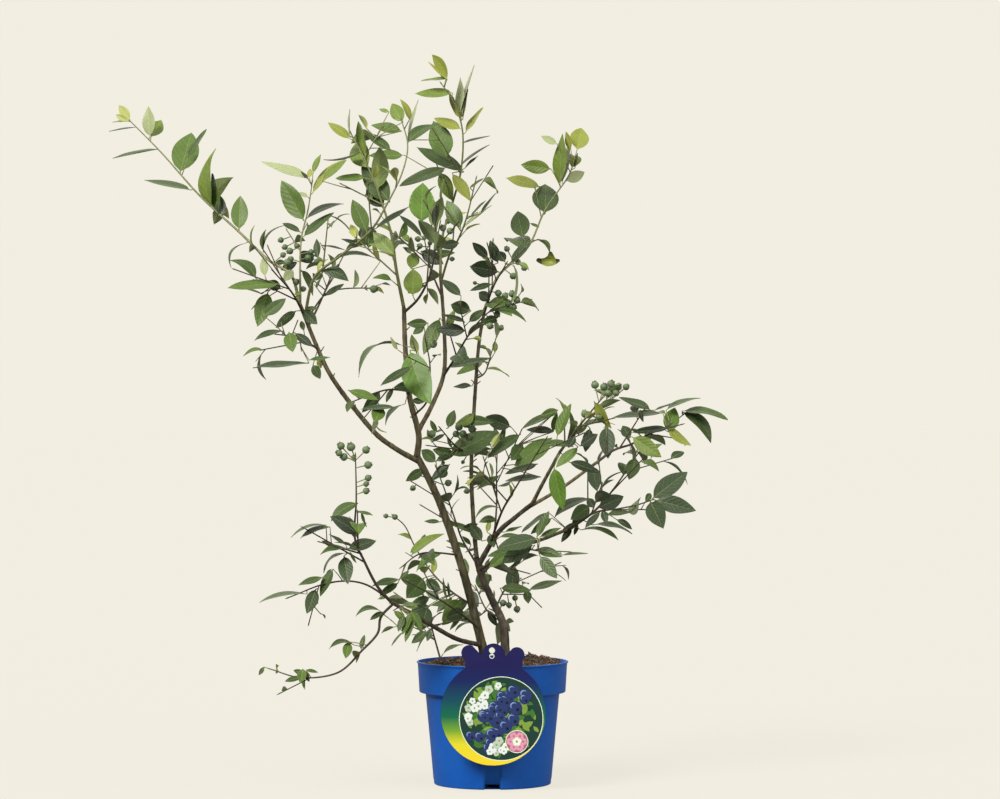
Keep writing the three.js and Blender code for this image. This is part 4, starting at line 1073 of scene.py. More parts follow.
def free(owner, point):
    """Whether a point is in the shoot's own space: nearer its stem than any other, off limbs and pot."""
    if point[2] < POT_ZONE_TOP and math.hypot(point[0], point[1]) < POT_ZONE_RADIUS:
        return False
    if point[2] < LABEL_ZONE_TOP and point[1] < LABEL_ZONE_BACK and abs(point[0]) < LABEL_ZONE_HALF:
        return False
    if (limb_thicket.distances(point) < limb_room).any():
        return False
    gaps = shoot_thicket.distances(point)
    own = shoot_order[owner]
    gaps_of_others = np.delete(gaps, own)
    return bool((gaps_of_others > gaps[own] + 2 * MARGIN).all())


class Growth:
    """What has grown on one shoot so far."""

    def __init__(self, owner, stem, twigs):
        self.owner, self.stem, self.twigs = owner, stem, twigs
        self.thicket = Thicket([stem, *twigs])
        self.stations, self.leaves, self.berries = [], [], []
        self.set_leaves, self.set_berries = [], []

    def roomy(self, stations, crowd):
        """Whether a leaf's stations have room among the stem, twigs, leaves and berries so far."""
        taken = np.array(self.stations) if self.stations else None
        for point in stations:
            if not free(self.owner, point) or (self.thicket.distances(point) <= NEAR_TWIG).any():
                return False
            if taken is not None and (((taken - point) ** 2).sum(1) <= crowd**2).any():
                return False
        return True


def grow_twigs(owner, plan, draw):
    """Side twigs from a shoot's stem; one that would leave the shoot's space is skipped."""
    stem = spines[owner]
    leafy = TWIG_END * plan.get("leaf_to", 1.0) - plan["bare"]
    twigs = []
    for i in range(plan["twigs"]):
        s = stem.length * (plan["bare"] + leafy * (i + between(draw, TWIG_PLACE)) / plan["twigs"])
        foot, direction = stem.point(s), stem.direction(s)
        thick = (min(stem.radius(s) * TWIG_SHARE, TWIG_FOOT), TWIG_TIP)
        for tries in range(TRIES):
            across = across_at(direction, (2 * i + tries) * TURN + between(draw, TWIG_TURN))
            heading = unit(leaning(direction, across, between(draw, TWIG_LEAN)) + UP * TWIG_RISE)
            length = plan["twig"] * between(draw, TWIG_LENGTH)
            if free(owner, foot + heading * length * TWIG_MIDDLE) and free(owner, foot + heading * length):
                twigs.append(Spine([foot, foot + heading * length], thick))
                break
    return twigs


class Leaf:
    """One blade: where it stands, the way it points, its upper side and its size."""

    tone, limp = None, 1.0

    def __init__(self, spine, s, turn, longest, size, draw):
        direction = spine.direction(s)
        across = across_at(direction, turn + between(draw, LEAF_TURN_DRAW))
        lean = size * LEAF_LEAN - LEAF_LEAN_LESS + between(draw, LEAF_LEAN_DRAW)
        heading = unit(leaning(direction, across, lean) + UP * between(draw, LEAF_RISE_DRAW))
        self.length = longest * size * between(draw, LEAF_LENGTH)
        face = direction + UP * LEAF_FACE_UP
        face = unit(face - heading * (face @ heading))
        twist = between(draw, LEAF_TWIST_DRAW)
        self.face = face * math.cos(twist) + cross(heading, face) * math.sin(twist)
        self.width = self.length * LEAF_WIDTH * between(draw, LEAF_WIDTH_DRAW)
        self.root, self.heading = spine.point(s), heading
        self.side = cross(heading, self.face)
        self.size = size

    def point(self, share, out):
        """A point of the blade: `share` of the way to the tip and `out` to one side."""
        rise = LEAF_ARCH * 4 * share * (1 - share) - LEAF_DROOP * share * share
        middle = self.root + self.heading * self.length * share
        return middle + self.side * out + self.face * self.length * rise

    def stations(self):
        rows = [self.point(share, way * half * self.width) for share, half in LEAF_ROWS for way in (-1, 0, 1)]
        return [*rows, self.point(LEAF_NEAR_TIP, 0.0), self.point(1.0, 0.0)]


def grow_leaves(growth, longest, spine, bare, leaf_to, draw, gap=LEAF_GAP, crowd=CROWD):
    """Leaves along one stem or twig, from its tip back to its bare foot."""
    start = draw() * math.pi * 2
    s = spine.length * leaf_to - LEAF_FROM_TIP
    k = 0
    while s > spine.length * bare:
        size = LEAF_YOUNG[k] if k < len(LEAF_YOUNG) else 1.0
        for tries in range(TRIES):
            turn = start + (k + 2 * tries) * TURN
            leaf = Leaf(spine, s, turn, longest * (1 - LEAF_SMALLER * tries), size, draw)
            stations = leaf.stations()
            if growth.roomy(stations, crowd):
                growth.leaves.append(leaf)
                growth.stations += stations
                break
        s -= gap * min(1.0, LEAF_TIP_GAP + LEAF_TIP_GAP_STEP * k) * between(draw, LEAF_GAP_DRAW)
        k += 1


def grow_berries(growth, plan, draw):
    """Berries in a loose cluster round the shoot's tip, each on its own stalk."""
    spine, wanted = growth.stem, plan["berries"]
    for _ in range(wanted * BERRY_TRIES):
        if len(growth.berries) == wanted:
            break
        s = spine.length * (1 - BERRY_CLUSTER * draw())
        direction = spine.direction(s)
        lean = between(draw, BERRY_LEAN)
        heading = leaning(direction, across_at(direction, draw() * math.pi * 2), lean)
        heading = unit(heading + UP * BERRY_FALL)
        radius = BERRY_RADIUS * between(draw, BERRY_RADIUS_DRAW)
        stalk = BERRY_STALK * between(draw, BERRY_STALK_DRAW)
        foot = spine.point(s)
        centre = foot + heading * (stalk + radius)
        apart = all(math.dist(b[1], centre) > (b[2] + radius) * BERRY_APART for b in growth.berries)
        clear = apart and (growth.thicket.distances(centre) > radius + BERRY_FROM_TWIG).all()
        if clear and free(growth.owner, centre):
            growth.berries.append((foot, centre, radius))
            growth.stations.append(centre)


growths = {}
for shoot, plan in SHOOTS.items():
    draw = draws_from(plan["seed"])
    growth = Growth(shoot, spines[shoot], grow_twigs(shoot, plan, draw))
    grow_berries(growth, plan, draw)
    grow_leaves(growth, plan["leaf"], growth.stem, plan["bare"], plan.get("leaf_to", 1.0), draw)
    for twig in list(growth.twigs):
        grow_leaves(growth, plan["leaf"], twig, *LEAF_ON_TWIG, draw)
    growths[shoot] = growth

# ---------------- finer growth
# Between the main leaves each shoot carries short sprigs with two or three small leaves. None of
# them stands outside the space that the bush is packed in.
SPRIG_SEED = 500
SPRIGS_PER_LENGTH = 1 / 38.0
SPARSE_SHOOTS = ("left_tip", "upper_right", "left_riser", "left_drooping", "left_trailing", "top_shoot")
SPRIG_LENGTH = (10.0, 26.0)
SPRIG_THICK = (0.75, 0.5)
SPRIG_CLEAR = 6.0
SPRIG_LEAF = 0.66
SPRIG_BARE = 0.35
SPRIGS_ON_TWIG = (0.2, 0.95)
SPARSE = 0.4
SPRIG_GAP = 11.0
FINE_CROWD = 6.2
SPACE_LOW = np.array(cad_low) / MM + 1.0
SPACE_HIGH = np.array(cad_high) / MM - 1.0


def inside_space(point):
    return bool((point > SPACE_LOW).all() and (point < SPACE_HIGH).all())


def grow_sprigs(growth, plan, draw):
    """Short leafy sprigs from the stem and the twigs, on draws of their own."""
    sprigs = []
    rate = SPRIGS_PER_LENGTH * (SPARSE if growth.owner in SPARSE_SHOOTS else 1.0)
    carriers = [(growth.stem, plan["bare"], plan.get("leaf_to", 1.0))]
    carriers += [(twig, *SPRIGS_ON_TWIG) for twig in growth.twigs]
    for carrier, low, high in carriers:
        count = int(carrier.length * (high - low) * rate + draw())
        for i in range(count):
            s = carrier.length * (low + (high - low) * (i + draw()) / count)
            direction = carrier.direction(s)
            for tries in range(TRIES):
                across = across_at(direction, (i + tries) * TURN + draw() * 2)
                heading = unit(leaning(direction, across, between(draw, TWIG_LEAN)) + UP * TWIG_RISE)
                tip = carrier.point(s) + heading * between(draw, SPRIG_LENGTH)
                clear = (growth.thicket.distances(tip) > SPRIG_CLEAR).all()
                if clear and inside_space(tip) and free(growth.owner, tip):
                    sprigs.append(Spine([carrier.point(s), tip], SPRIG_THICK))
                    break
    return sprigs


for shoot, plan in SHOOTS.items():
    growth = growths[shoot]
    draw = draws_from(SPRIG_SEED + plan["seed"])
    growth.sprigs = grow_sprigs(growth, plan, draw)
    for sprig in growth.sprigs:
        before = len(growth.leaves)
        grow_leaves(growth, plan["leaf"] * SPRIG_LEAF, sprig, SPRIG_BARE, 1.0, draw, SPRIG_GAP, FINE_CROWD)
        grown = growth.leaves[before:]
        growth.leaves[before:] = [leaf for leaf in grown if inside_space(leaf.point(1.0, 0.0))]

# ---------------- leaves and fruit set one by one
# The leaves and berries that give this bush its own outline, each on the shoot it is nearest to.
# Their places are given as they show in the camera's picture, in thousandths of its width from its
# left edge and from its top, and each is set on its stem or twig at that one's own depth.

# Leaves are listed by tone. A row gives the leaf's foot (across, down), its tip (across, down), the
# width that shows and, where the blade is curled, its bow.
# A blade's tone was read off where it shows: a dark or deep one is partly painted shade on a blade in shade,
# a pale one partly painted light on a blade that shows bright.
HAND_SET_LEAVES = {
    "leaves_left": {
        "tip": [(130, 120, 118, 104, 9), (128, 121, 115, 114, 6), (309, 178, 310, 168, 5),
            (357, 238, 350, 224, 8)],
        "fresh": [(130, 121, 112, 121, 2.5), (151, 137, 158, 118, 14), (213, 207, 212, 147, 13, 0.13),
            (313, 173, 320, 154, 6), (394, 255, 372, 231, 14)],
        "leaf": [(136, 127, 109, 131, 2), (158, 149, 113, 158, 4), (188, 158, 205, 128, 7),
            (191, 190, 143, 178, 7), (246, 243, 231, 268, 3, -0.25), (303, 237, 333, 211, 9),
            (256, 279, 229, 260, 9, -0.15), (262, 294, 243, 287, 2), (264, 316, 285, 298, 11),
            (262, 301, 251, 309, 2), (296, 311, 275, 327, 9), (305, 308, 319, 309, 4),
            (309, 360, 330, 357, 4), (313, 365, 321, 378, 9), (301, 270, 313, 296, 7, 0.12),
            (393, 388, 386, 402, 5)],
        "pale": [(150, 137, 147, 106, 12), (309, 179, 261, 158, 10), (308, 197, 299, 192, 4),
            (265, 276, 263, 256, 8), (293, 270, 285, 281, 9)],
        "green": [(180, 173, 188, 127, 25), (219, 216, 211, 172, 9), (239, 230, 239, 195, 16),
            (304, 221, 281, 179, 19), (279, 284, 230, 286, 10), (268, 292, 259, 326, 16),
            (289, 332, 294, 351, 13), (348, 390, 379, 400, 8), (381, 407, 376, 421, 13)],
        "dark": [(222, 217, 219, 194, 10), (308, 179, 301, 171, 3), (306, 219, 343, 203, 7, 0.08),
            (281, 289, 266, 281, 10), (295, 333, 313, 347, 8), (359, 245, 341, 238, 4),
            (361, 238, 362, 227, 8), (322, 245, 345, 250, 2), (375, 229, 410, 206, 6),
            (281, 270, 297, 262, 8), (300, 262, 312, 250, 14)],
        "deep": [(263, 252, 287, 224, 3, 0.2), (300, 232, 282, 222, 6), (283, 331, 255, 341, 6, -0.08),
            (303, 310, 318, 325, 11), (309, 363, 255, 367, 6), (322, 271, 349, 281, 11, 0.12),
            (325, 296, 344, 284, 6), (333, 259, 375, 257, 5, 0.1), (285, 262, 275, 262, 5),
            (318, 258, 316, 238, 7), (395, 407, 361, 408, 5), (405, 404, 385, 424, 4, -0.15)],
        "lime": [(312, 194, 345, 159, 9, 0.06), (321, 368, 318, 357, 6), (380, 262, 372, 240, 5)],
    },
    "leaves_crown": {
        "lime": [(447, 80, 431, 54, 10, -0.08), (461, 129, 434, 117, 10), (465, 133, 483, 107, 6),
            (452, 173, 471, 202, 11), (350, 139, 328, 121, 9), (577, 150, 583, 124, 18),
            (571, 150, 566, 131, 6), (540, 187, 506, 177, 11)],
        "tip": [(446, 79, 428, 61, 4), (463, 119, 467, 88, 4), (461, 118, 449, 92, 6)],
        "fresh": [(447, 79, 421, 79, 4), (453, 93, 415, 93, 10), (440, 172, 452, 201, 13),
            (366, 156, 356, 120, 9), (403, 122, 390, 101, 13), (389, 112, 379, 109, 4),
            (322, 181, 346, 159, 8), (411, 269, 415, 250, 12), (413, 296, 412, 266, 18),
            (560, 186, 561, 133, 12), (551, 169, 521, 164, 13)],
        "pale": [(462, 119, 458, 75, 9), (460, 112, 475, 64, 3), (350, 137, 348, 109, 2),
            (408, 140, 417, 99, 4), (462, 229, 490, 203, 4), (398, 350, 390, 337, 4),
            (562, 184, 568, 140, 9), (557, 144, 541, 136, 7), (566, 181, 585, 171, 11)],
        "green": [(447, 159, 434, 118, 22), (404, 155, 370, 157, 10), (402, 131, 371, 125, 10),
            (365, 178, 335, 178, 8), (367, 232, 352, 199, 15), (461, 228, 446, 200, 15),
            (440, 318, 423, 354, 14), (484, 361, 457, 374, 8)],
        "dark": [(462, 143, 490, 135, 3), (383, 208, 366, 185, 15), (434, 226, 438, 202, 7),
            (421, 251, 443, 264, 13), (488, 258, 472, 242, 9), (499, 272, 470, 265, 16),
            (465, 322, 443, 314, 5), (466, 331, 436, 329, 12), (472, 386, 453, 386, 5),
            (505, 262, 498, 250, 9)],
        "leaf": [(461, 165, 488, 142, 3), (465, 168, 478, 155, 3), (464, 172, 416, 145, 14),
            (447, 167, 400, 188, 12), (470, 188, 483, 177, 3), (391, 150, 365, 133, 9),
            (390, 202, 361, 164, 20), (471, 216, 486, 200, 2.5), (469, 322, 484, 309, 8),
            (428, 323, 407, 324, 9), (424, 326, 413, 334, 7), (405, 346, 359, 376, 3, -0.28),
            (446, 368, 491, 357, 7), (545, 214, 547, 178, 25), (575, 168, 577, 152, 3),
            (523, 238, 517, 209, 18), (539, 227, 530, 223, 3), (538, 240, 550, 252, 5, 0.2)],
        "bright": [(421, 223, 422, 179, 24), (410, 350, 432, 404, 27, -0.05)],
        "deep": [(422, 237, 399, 213, 6), (459, 243, 440, 247, 9), (498, 263, 490, 240, 10),
            (461, 296, 441, 279, 9), (471, 311, 450, 303, 13), (412, 366, 381, 386, 8),
            (421, 385, 394, 387, 11), (412, 400, 425, 402, 6), (511, 263, 531, 239, 9),
            (360, 152, 324, 160, 2, 0.1), (480, 214, 496, 193, 3), (490, 300, 478, 292, 10),
            (492, 284, 470, 290, 6), (497, 318, 483, 322, 8)],
    },
    "leaves_middle": {
        "leaf": [(448, 428, 454, 410, 9), (449, 456, 497, 431, 20), (436, 462, 421, 450, 11),
            (455, 455, 432, 450, 10), (424, 469, 406, 481, 9), (521, 434, 487, 457, 10),
            (523, 445, 512, 460, 14), (541, 477, 505, 480, 6), (556, 412, 521, 428, 6),
            (440, 522, 424, 521, 4), (424, 578, 408, 597, 18), (426, 631, 412, 643, 8),
            (404, 615, 398, 631, 6), (403, 632, 391, 645, 2), (400, 579, 372, 584, 6),
            (398, 583, 380, 596, 7), (440, 600, 425, 590, 7), (425, 582, 400, 580, 13),
            (401, 578, 409, 571, 4), (447, 600, 443, 578, 3), (429, 598, 443, 590, 3, 0.1),
            (457, 602, 431, 604, 6), (430, 597, 409, 607, 9), (461, 617, 450, 630, 4),
            (472, 623, 455, 631, 2, -0.15), (453, 449, 446, 437, 3), (436, 461, 455, 452, 7),
            (447, 521, 479, 534, 5), (468, 548, 446, 540, 4), (471, 545, 462, 536, 4),
            (456, 525, 442, 521, 6), (358, 503, 331, 520, 10, -0.08), (330, 527, 300, 537, 5, -0.08),
            (326, 525, 291, 536, 2.5, -0.1), (347, 548, 321, 554, 5, -0.1), (350, 552, 356, 563, 3),
            (357, 511, 373, 515, 3), (361, 511, 367, 527, 3), (333, 569, 320, 596, 9),
            (323, 577, 299, 585, 6), (307, 594, 260, 599, 3, -0.06), (382, 612, 356, 616, 4, -0.22),
            (383, 612, 370, 619, 5), (354, 645, 329, 649, 4, -0.22), (361, 649, 364, 635, 5),
            (304, 673, 293, 671, 5), (301, 677, 285, 681, 5), (306, 670, 318, 672, 3),
            (264, 667, 259, 675, 4)],
        "fresh": [(474, 413, 456, 424, 9, 0.12), (411, 556, 444, 535, 8, 0.08)],
        "deep": [(450, 464, 430, 481, 8), (511, 427, 484, 417, 14), (538, 464, 505, 473, 7),
            (426, 580, 441, 589, 10), (428, 606, 420, 630, 14), (450, 598, 448, 582, 3),
            (459, 597, 466, 606, 4), (464, 612, 447, 616, 13), (430, 606, 410, 612, 8),
            (431, 630, 427, 641, 5), (445, 434, 431, 442, 4), (437, 612, 452, 598, 6),
            (490, 534, 494, 547, 9), (447, 470, 440, 478, 7), (482, 541, 470, 525, 11),
            (346, 545, 329, 534, 3), (348, 549, 376, 540, 11), (344, 556, 349, 582, 14),
            (346, 553, 324, 573, 3, -0.2), (316, 589, 308, 612, 12)],
        "green": [(552, 438, 515, 467, 17), (500, 475, 477, 489, 6), (558, 410, 540, 416, 8),
            (553, 432, 557, 412, 6), (462, 600, 443, 618, 15), (418, 607, 402, 604, 6),
            (455, 612, 443, 624, 9), (411, 611, 422, 630, 9), (411, 613, 402, 634, 7),
            (415, 618, 405, 641, 6), (437, 432, 430, 420, 5), (349, 642, 346, 657, 9),
            (303, 673, 304, 689, 4), (304, 670, 309, 682, 5), (303, 669, 301, 681, 9)],
        "dark": [(554, 431, 526, 429, 7), (478, 548, 465, 552, 2), (462, 530, 478, 524, 7)],
        "tip": [(433, 573, 435, 559, 6)],
    },
    "leaves_right": {
        "leaf": [(581, 530, 618, 539, 4, 0.12), (537, 537, 549, 511, 8), (540, 537, 561, 528, 5),
            (535, 545, 488, 556, 10), (586, 510, 572, 524, 9), (666, 410, 701, 398, 4, 0.06),
            (682, 411, 727, 418, 7, 0.06), (682, 412, 711, 443, 12, 0.14), (636, 458, 629, 478, 13),
            (606, 516, 635, 513, 5, 0.06), (590, 506, 570, 519, 14), (548, 512, 521, 531, 4),
            (536, 549, 562, 556, 9), (540, 556, 557, 578, 12), (528, 590, 562, 580, 6),
            (527, 590, 528, 603, 8), (562, 555, 588, 554, 2), (484, 592, 481, 570, 13),
            (443, 654, 463, 645, 3, 0.1), (500, 588, 531, 590, 9), (592, 525, 632, 534, 4, 0.1),
            (505, 532, 522, 527, 3), (500, 537, 519, 534, 4), (500, 508, 475, 518, 3, -0.2),
            (497, 520, 479, 522, 7, -0.1)],
        "deep": [(603, 510, 606, 523, 7), (594, 508, 588, 498, 8), (580, 522, 560, 532, 5),
            (578, 525, 574, 535, 4), (651, 410, 620, 396, 8), (663, 413, 612, 416, 6),
            (630, 438, 623, 425, 10), (606, 426, 608, 458, 15), (652, 499, 688, 471, 18),
            (655, 500, 695, 510, 16), (650, 501, 661, 526, 18), (592, 466, 597, 490, 13),
            (598, 508, 624, 497, 14), (592, 499, 554, 518, 8, -0.12), (572, 528, 561, 542, 6),
            (538, 538, 497, 548, 14), (533, 541, 502, 562, 16), (512, 592, 513, 566, 13),
            (600, 512, 585, 528, 6), (470, 590, 478, 606, 9)],
        "dark": [(511, 481, 498, 486, 3, 0.12), (640, 410, 643, 422, 4), (655, 410, 677, 402, 2),
            (668, 428, 632, 433, 7), (569, 462, 600, 471, 9), (590, 428, 585, 452, 10),
            (580, 446, 598, 434, 10), (575, 436, 568, 448, 7), (488, 610, 497, 626, 7)],
        "lime": [(594, 401, 610, 429, 9), (668, 426, 690, 446, 9, -0.08), (487, 532, 490, 520, 5)],
        "green": [(668, 432, 676, 408, 15), (557, 437, 570, 403, 10), (578, 447, 556, 467, 9),
            (552, 518, 530, 533, 7), (508, 553, 489, 567, 9), (466, 578, 464, 558, 8)],
        "fresh": [(632, 437, 661, 456, 15)],
        "bright": [(554, 467, 561, 510, 15)],
    },
}
# A row gives the middle of a berry (across, down) and its width.
HAND_SET_BERRIES = [
    (341, 446, 8), (339, 453, 7), (344, 457, 8), (351, 447, 9), (354, 457, 5), (366, 450, 8), (368, 465, 8),
    (368, 478, 7), (366, 484, 6), (366, 491, 7), (386, 516, 5), (395, 517, 6), (281, 240, 6), (285, 247, 6),
    (290, 251, 7), (297, 246, 6), (283, 255, 6), (291, 259, 6), (318, 262, 8), (308, 258, 7), (287, 263, 8),
    (311, 252, 6), (296, 282, 7), (303, 289, 6), (418, 239, 6), (424, 238, 5), (431, 236, 5), (420, 246, 6),
    (450, 231, 7), (443, 228, 7), (448, 221, 6), (446, 246, 6), (437, 248, 6), (430, 243, 5), (475, 283, 4),
    (452, 259, 5), (513, 276, 7), (524, 268, 6), (518, 262, 6), (507, 249, 6), (505, 296, 7), (512, 294, 7),
    (517, 300, 7), (508, 304, 7), (498, 293, 7), (514, 307, 6), (490, 326, 7), (494, 320, 6), (501, 328, 6),
    (497, 314, 7), (459, 427, 8), (466, 424, 8), (472, 429, 8), (463, 434, 8), (469, 437, 8), (456, 434, 7),
    (432, 434, 8), (413, 488, 6), (448, 483, 7), (441, 501, 6), (467, 491, 6), (463, 462, 4), (443, 463, 4),
    (488, 444, 4), (595, 385, 8), (604, 387, 8), (611, 384, 8), (618, 387, 8), (626, 387, 7), (608, 393, 8),
    (616, 393, 7), (585, 414, 8), (599, 417, 7), (503, 603, 7), (509, 605, 6), (515, 598, 6), (517, 609, 7),
]
# The shoots whose leaves make one piece, each with the palette that its own leaves are dealt from.
# The palettes are partly painted light and shade: lighter for the shoots at the top and outside of
# the bush, and darker, as painted shade, for those low in it, behind and inside.
REGIONS = {
    "leaves_left": {
        "left_tip": "light", "left_crown": "middle", "left_crown_back": "shade", "left_riser": "light",
        "left_cross": "light", "left_side_twig": "middle", "left_low_leaves": "shade",
        "leader_left_low": "shade",
    },
    "leaves_crown": {
        "leader_top": "light", "leader_right": "upper", "leader_front": "upper", "top_shoot": "light",
        "centre_top_right": "light", "centre_berries": "middle", "centre_right_berries": "middle",
        "upper_right": "light", "upper_right_inner": "upper", "cane_mid": "middle",
    },
    "leaves_middle": {
        "centre_mid": "middle", "centre_mid_right": "shade", "centre_inner": "middle",
        "left_upright": "middle", "left_inner": "middle", "left_mid_twig": "shade",
        "left_trailing": "shade", "left_drooping": "upper",
    },
    "leaves_right": {
        "right_inner": "upper", "right_upper": "upper", "far_right": "middle", "right_rise": "shade",
        "right_low": "deep", "low_right_centre": "shade", "low_back": "deep", "low_right_berries": "shade",
        "low_centre": "shade", "compost_shoot": "shade",
    },
}
SIGHT = np.array(EYE) / MM
PICTURE_MIDDLE = np.array((500.0, 399.5))
SPOT_AT_ONE_METRE = PICTURE_WIDTH_AT_ONE_METRE / 1000
CARRIER_STEP = 3.0
SET_SEED = 77
SET_SLIMNESS = 0.44  # a blade's width as a share of its length
SET_DEPTH = (0.05, 0.45)
SET_FULLER = 1.08
SET_LIMP = 0.3
SET_STALK = (0.7, 0.5)
STALK_SLANT = 0.6  # how far down its carrier it starts, by how far the leaf stands off
STALK_SAG = 0.08
BERRY_SLANT = 0.3
LIT_FROM = np.array((-0.5, -0.3, 0.8))
SET_STALK_FROM = 1.8
ON_TWIG = 2.2
BEYOND_FOOT = 0.25
ROOM_ROUND_SET = 7.0
ROOM_BEHIND_SET = 14.0
FACING_AWAY = 0.78
OUTLINED_SHOOTS = (
    "left_tip", "left_riser", "top_shoot", "upper_right", "far_right", "left_drooping",
    "left_trailing",
)


def on_sight(across, down, depth):
    """The place at a given depth that shows at this spot of the picture."""
    reach = (depth - SIGHT[1]) * SPOT_AT_ONE_METRE
    aside, above = (across - PICTURE_MIDDLE[0]) * reach, (PICTURE_MIDDLE[1] - down) * reach
    return np.array((SIGHT[0] + aside, depth, SIGHT[2] + above))


def seen_at(points):
    """The spots of the picture where places show."""
    reach = (points[:, 1] - SIGHT[1]) * SPOT_AT_ONE_METRE
    return PICTURE_MIDDLE + (points[:, [0, 2]] - SIGHT[[0, 2]]) / reach[:, None] * (1.0, -1.0)


class Carriers:
    """Points all along the stems and twigs of some shoots, to find the one that a leaf stands on."""

    def __init__(self, shoots):
        self.rows = [
            (shoot, spine, s)
            for shoot in shoots for spine in (growths[shoot].stem, *growths[shoot].twigs)
            for s in np.arange(0.0, spine.length, CARRIER_STEP)
        ]
        self.places = np.array([spine.point(s) for _, spine, s in self.rows])
        self.shown = seen_at(self.places)

    def nearest(self, spot):
        """The shoot, its stem or twig, the place along it and how far that is from the spot, in mm."""
        gaps = ((self.shown - spot) ** 2).sum(1)
        best = int(gaps.argmin())
        reach = (self.places[best, 1] - SIGHT[1]) * SPOT_AT_ONE_METRE
        return *self.rows[best], math.sqrt(gaps[best]) * reach


class SetLeaf(Leaf):
    """A blade from the list. It is turned edge on where it shows narrow, and leans away from the eye,
    or towards it where it hangs, so that its upper side stays up."""

    def __init__(self, foot, run, shown, tone, bow, draw):
        seen = math.hypot(*run)
        self.length = max(seen, shown / SET_SLIMNESS)
        deep = math.sqrt(self.length**2 - seen**2) or between(draw, SET_DEPTH) * seen
        deep = math.copysign(deep, run[1])
        way = np.array((run[0], deep, run[1]))
        self.length = math.sqrt(way @ way)
        self.root, self.heading = foot, way / self.length
        self.width = max(shown, SET_SLIMNESS * seen) / BLADE_WIDTH
        turned = math.acos(min(1.0, shown / (self.width * BLADE_WIDTH)))
        ahead = unit(-AWAY + self.heading * (self.heading @ AWAY))
        aside = cross(self.heading, ahead)
        aside = aside if aside @ LIT_FROM > 0 else -aside
        self.face = ahead * math.cos(turned) + aside * math.sin(turned)
        self.side = cross(self.heading, self.face)
        self.bow = bow * self.length * unit(np.array((-run[1], 0.0, run[0])))
        self.size, self.tone, self.limp = 1.0, tone, SET_LIMP

    def point(self, share, out):
        middle = self.root + self.heading * (self.length * share) + self.bow * 4 * share * (1 - share)
        return middle + self.side * out


def stalk_to(foot, carrier, s, gap, draw):
    """The bit of twig from the carrier to a foot that stands off it."""
    start = carrier.point(max(0.0, s - STALK_SLANT * gap))
    bent = start + (foot - start) * 0.5 + np.array((0.0, 0.0, STALK_SAG * gap * (draw() - 0.3)))
    return Spine([start, bent, foot], SET_STALK)


def bears(spine, places):
    """Whether anything stands on a twig beyond its foot."""
    along = np.array([spine.point(spine.length * share) for share in np.linspace(BEYOND_FOOT, 1.0, 16)])
    return bool((((places[:, None] - along) ** 2).sum(2) < ON_TWIG**2).any())


set_draw = draws_from(SET_SEED)
taken = []
for region, toned_rows in HAND_SET_LEAVES.items():
    carriers = Carriers(REGIONS[region])
    for tone, rows in toned_rows.items():
        for across, down, tip_across, tip_down, shown, *bow in rows:
            shoot, carrier, s, gap = carriers.nearest((across, down))
            depth = carrier.point(s)[1]
            foot, tip = on_sight(across, down, depth), on_sight(tip_across, tip_down, depth)
            shown *= (depth - SIGHT[1]) * SPOT_AT_ONE_METRE * SET_FULLER
            leaf = SetLeaf(foot, (tip - foot)[[0, 2]], shown, tone, bow[0] if bow else 0.0, set_draw)
            growths[shoot].set_leaves.append(leaf)
            if gap > SET_STALK_FROM:
                growths[shoot].sprigs.append(stalk_to(foot, carrier, s, gap, set_draw))
            taken.append((across, down, tip_across - across, tip_down - down, depth))
taken = np.array(taken)

fruit_carriers = Carriers([shoot for shoots in REGIONS.values() for shoot in shoots])
for across, down, width in HAND_SET_BERRIES:
    shoot, carrier, s, gap = fruit_carriers.nearest((across, down))
    depth = carrier.point(s)[1]
    radius = width / 2 * (depth - SIGHT[1]) * SPOT_AT_ONE_METRE
    depth += between(set_draw, (-1.0, 1.0)) * radius
    foot = carrier.point(max(0.0, s - BERRY_SLANT * gap))
    growths[shoot].set_berries.append((foot, on_sight(across, down, depth), radius))


# Spots of the picture (across, down, width) where sky shows between the shoots.
OPEN_SKY = [
    (532, 572, 18), (548, 612, 36), (576, 560, 22), (667, 527, 26), (634, 484, 30), (524, 492, 26),
    (504, 500, 18), (667, 456, 18), (542, 293, 26), (518, 345, 40), (532, 350, 24), (277, 350, 30),
    (347, 300, 26), (362, 262, 18), (335, 277, 12), (224, 272, 18), (223, 165, 16), (395, 227, 16),
    (350, 195, 14), (488, 165, 20), (486, 192, 16), (384, 372, 18), (294, 518, 14), (357, 418, 14),
    (400, 570, 12), (420, 500, 18), (560, 440, 12), (590, 470, 14), (480, 500, 20), (512, 456, 20),
    (645, 532, 26), (541, 260, 24), (530, 256, 12), (263, 345, 14), (538, 268, 12), (400, 640, 22),
    (520, 640, 30), (450, 400, 14), (330, 330, 40), (600, 520, 16),
]


def in_open_sky(leaf):
    """Whether a leaf stands where the bush is open."""
    spots = seen_at(np.array([leaf.point(share, 0.0) for share in (0.4, 0.8)]))
    return any(
        math.dist(spot, (across, down)) < width / 2 for spot in spots for across, down, width in OPEN_SKY
    )


def hides_set_leaf(leaf, close):
    """Whether a leaf shows over, or runs into, one that is listed."""
    middle = leaf.point(0.5, 0.0)
    off = seen_at(middle[None]) - taken[:, :2]
    run = taken[:, 2:4]
    share = np.clip((off * run).sum(1) / (run**2).sum(1), 0.0, 1.0)
    gap = np.sqrt(((off - run * share[:, None]) ** 2).sum(1))
    return bool(((gap < close) & (middle[1] < taken[:, 4] + ROOM_BEHIND_SET)).any())


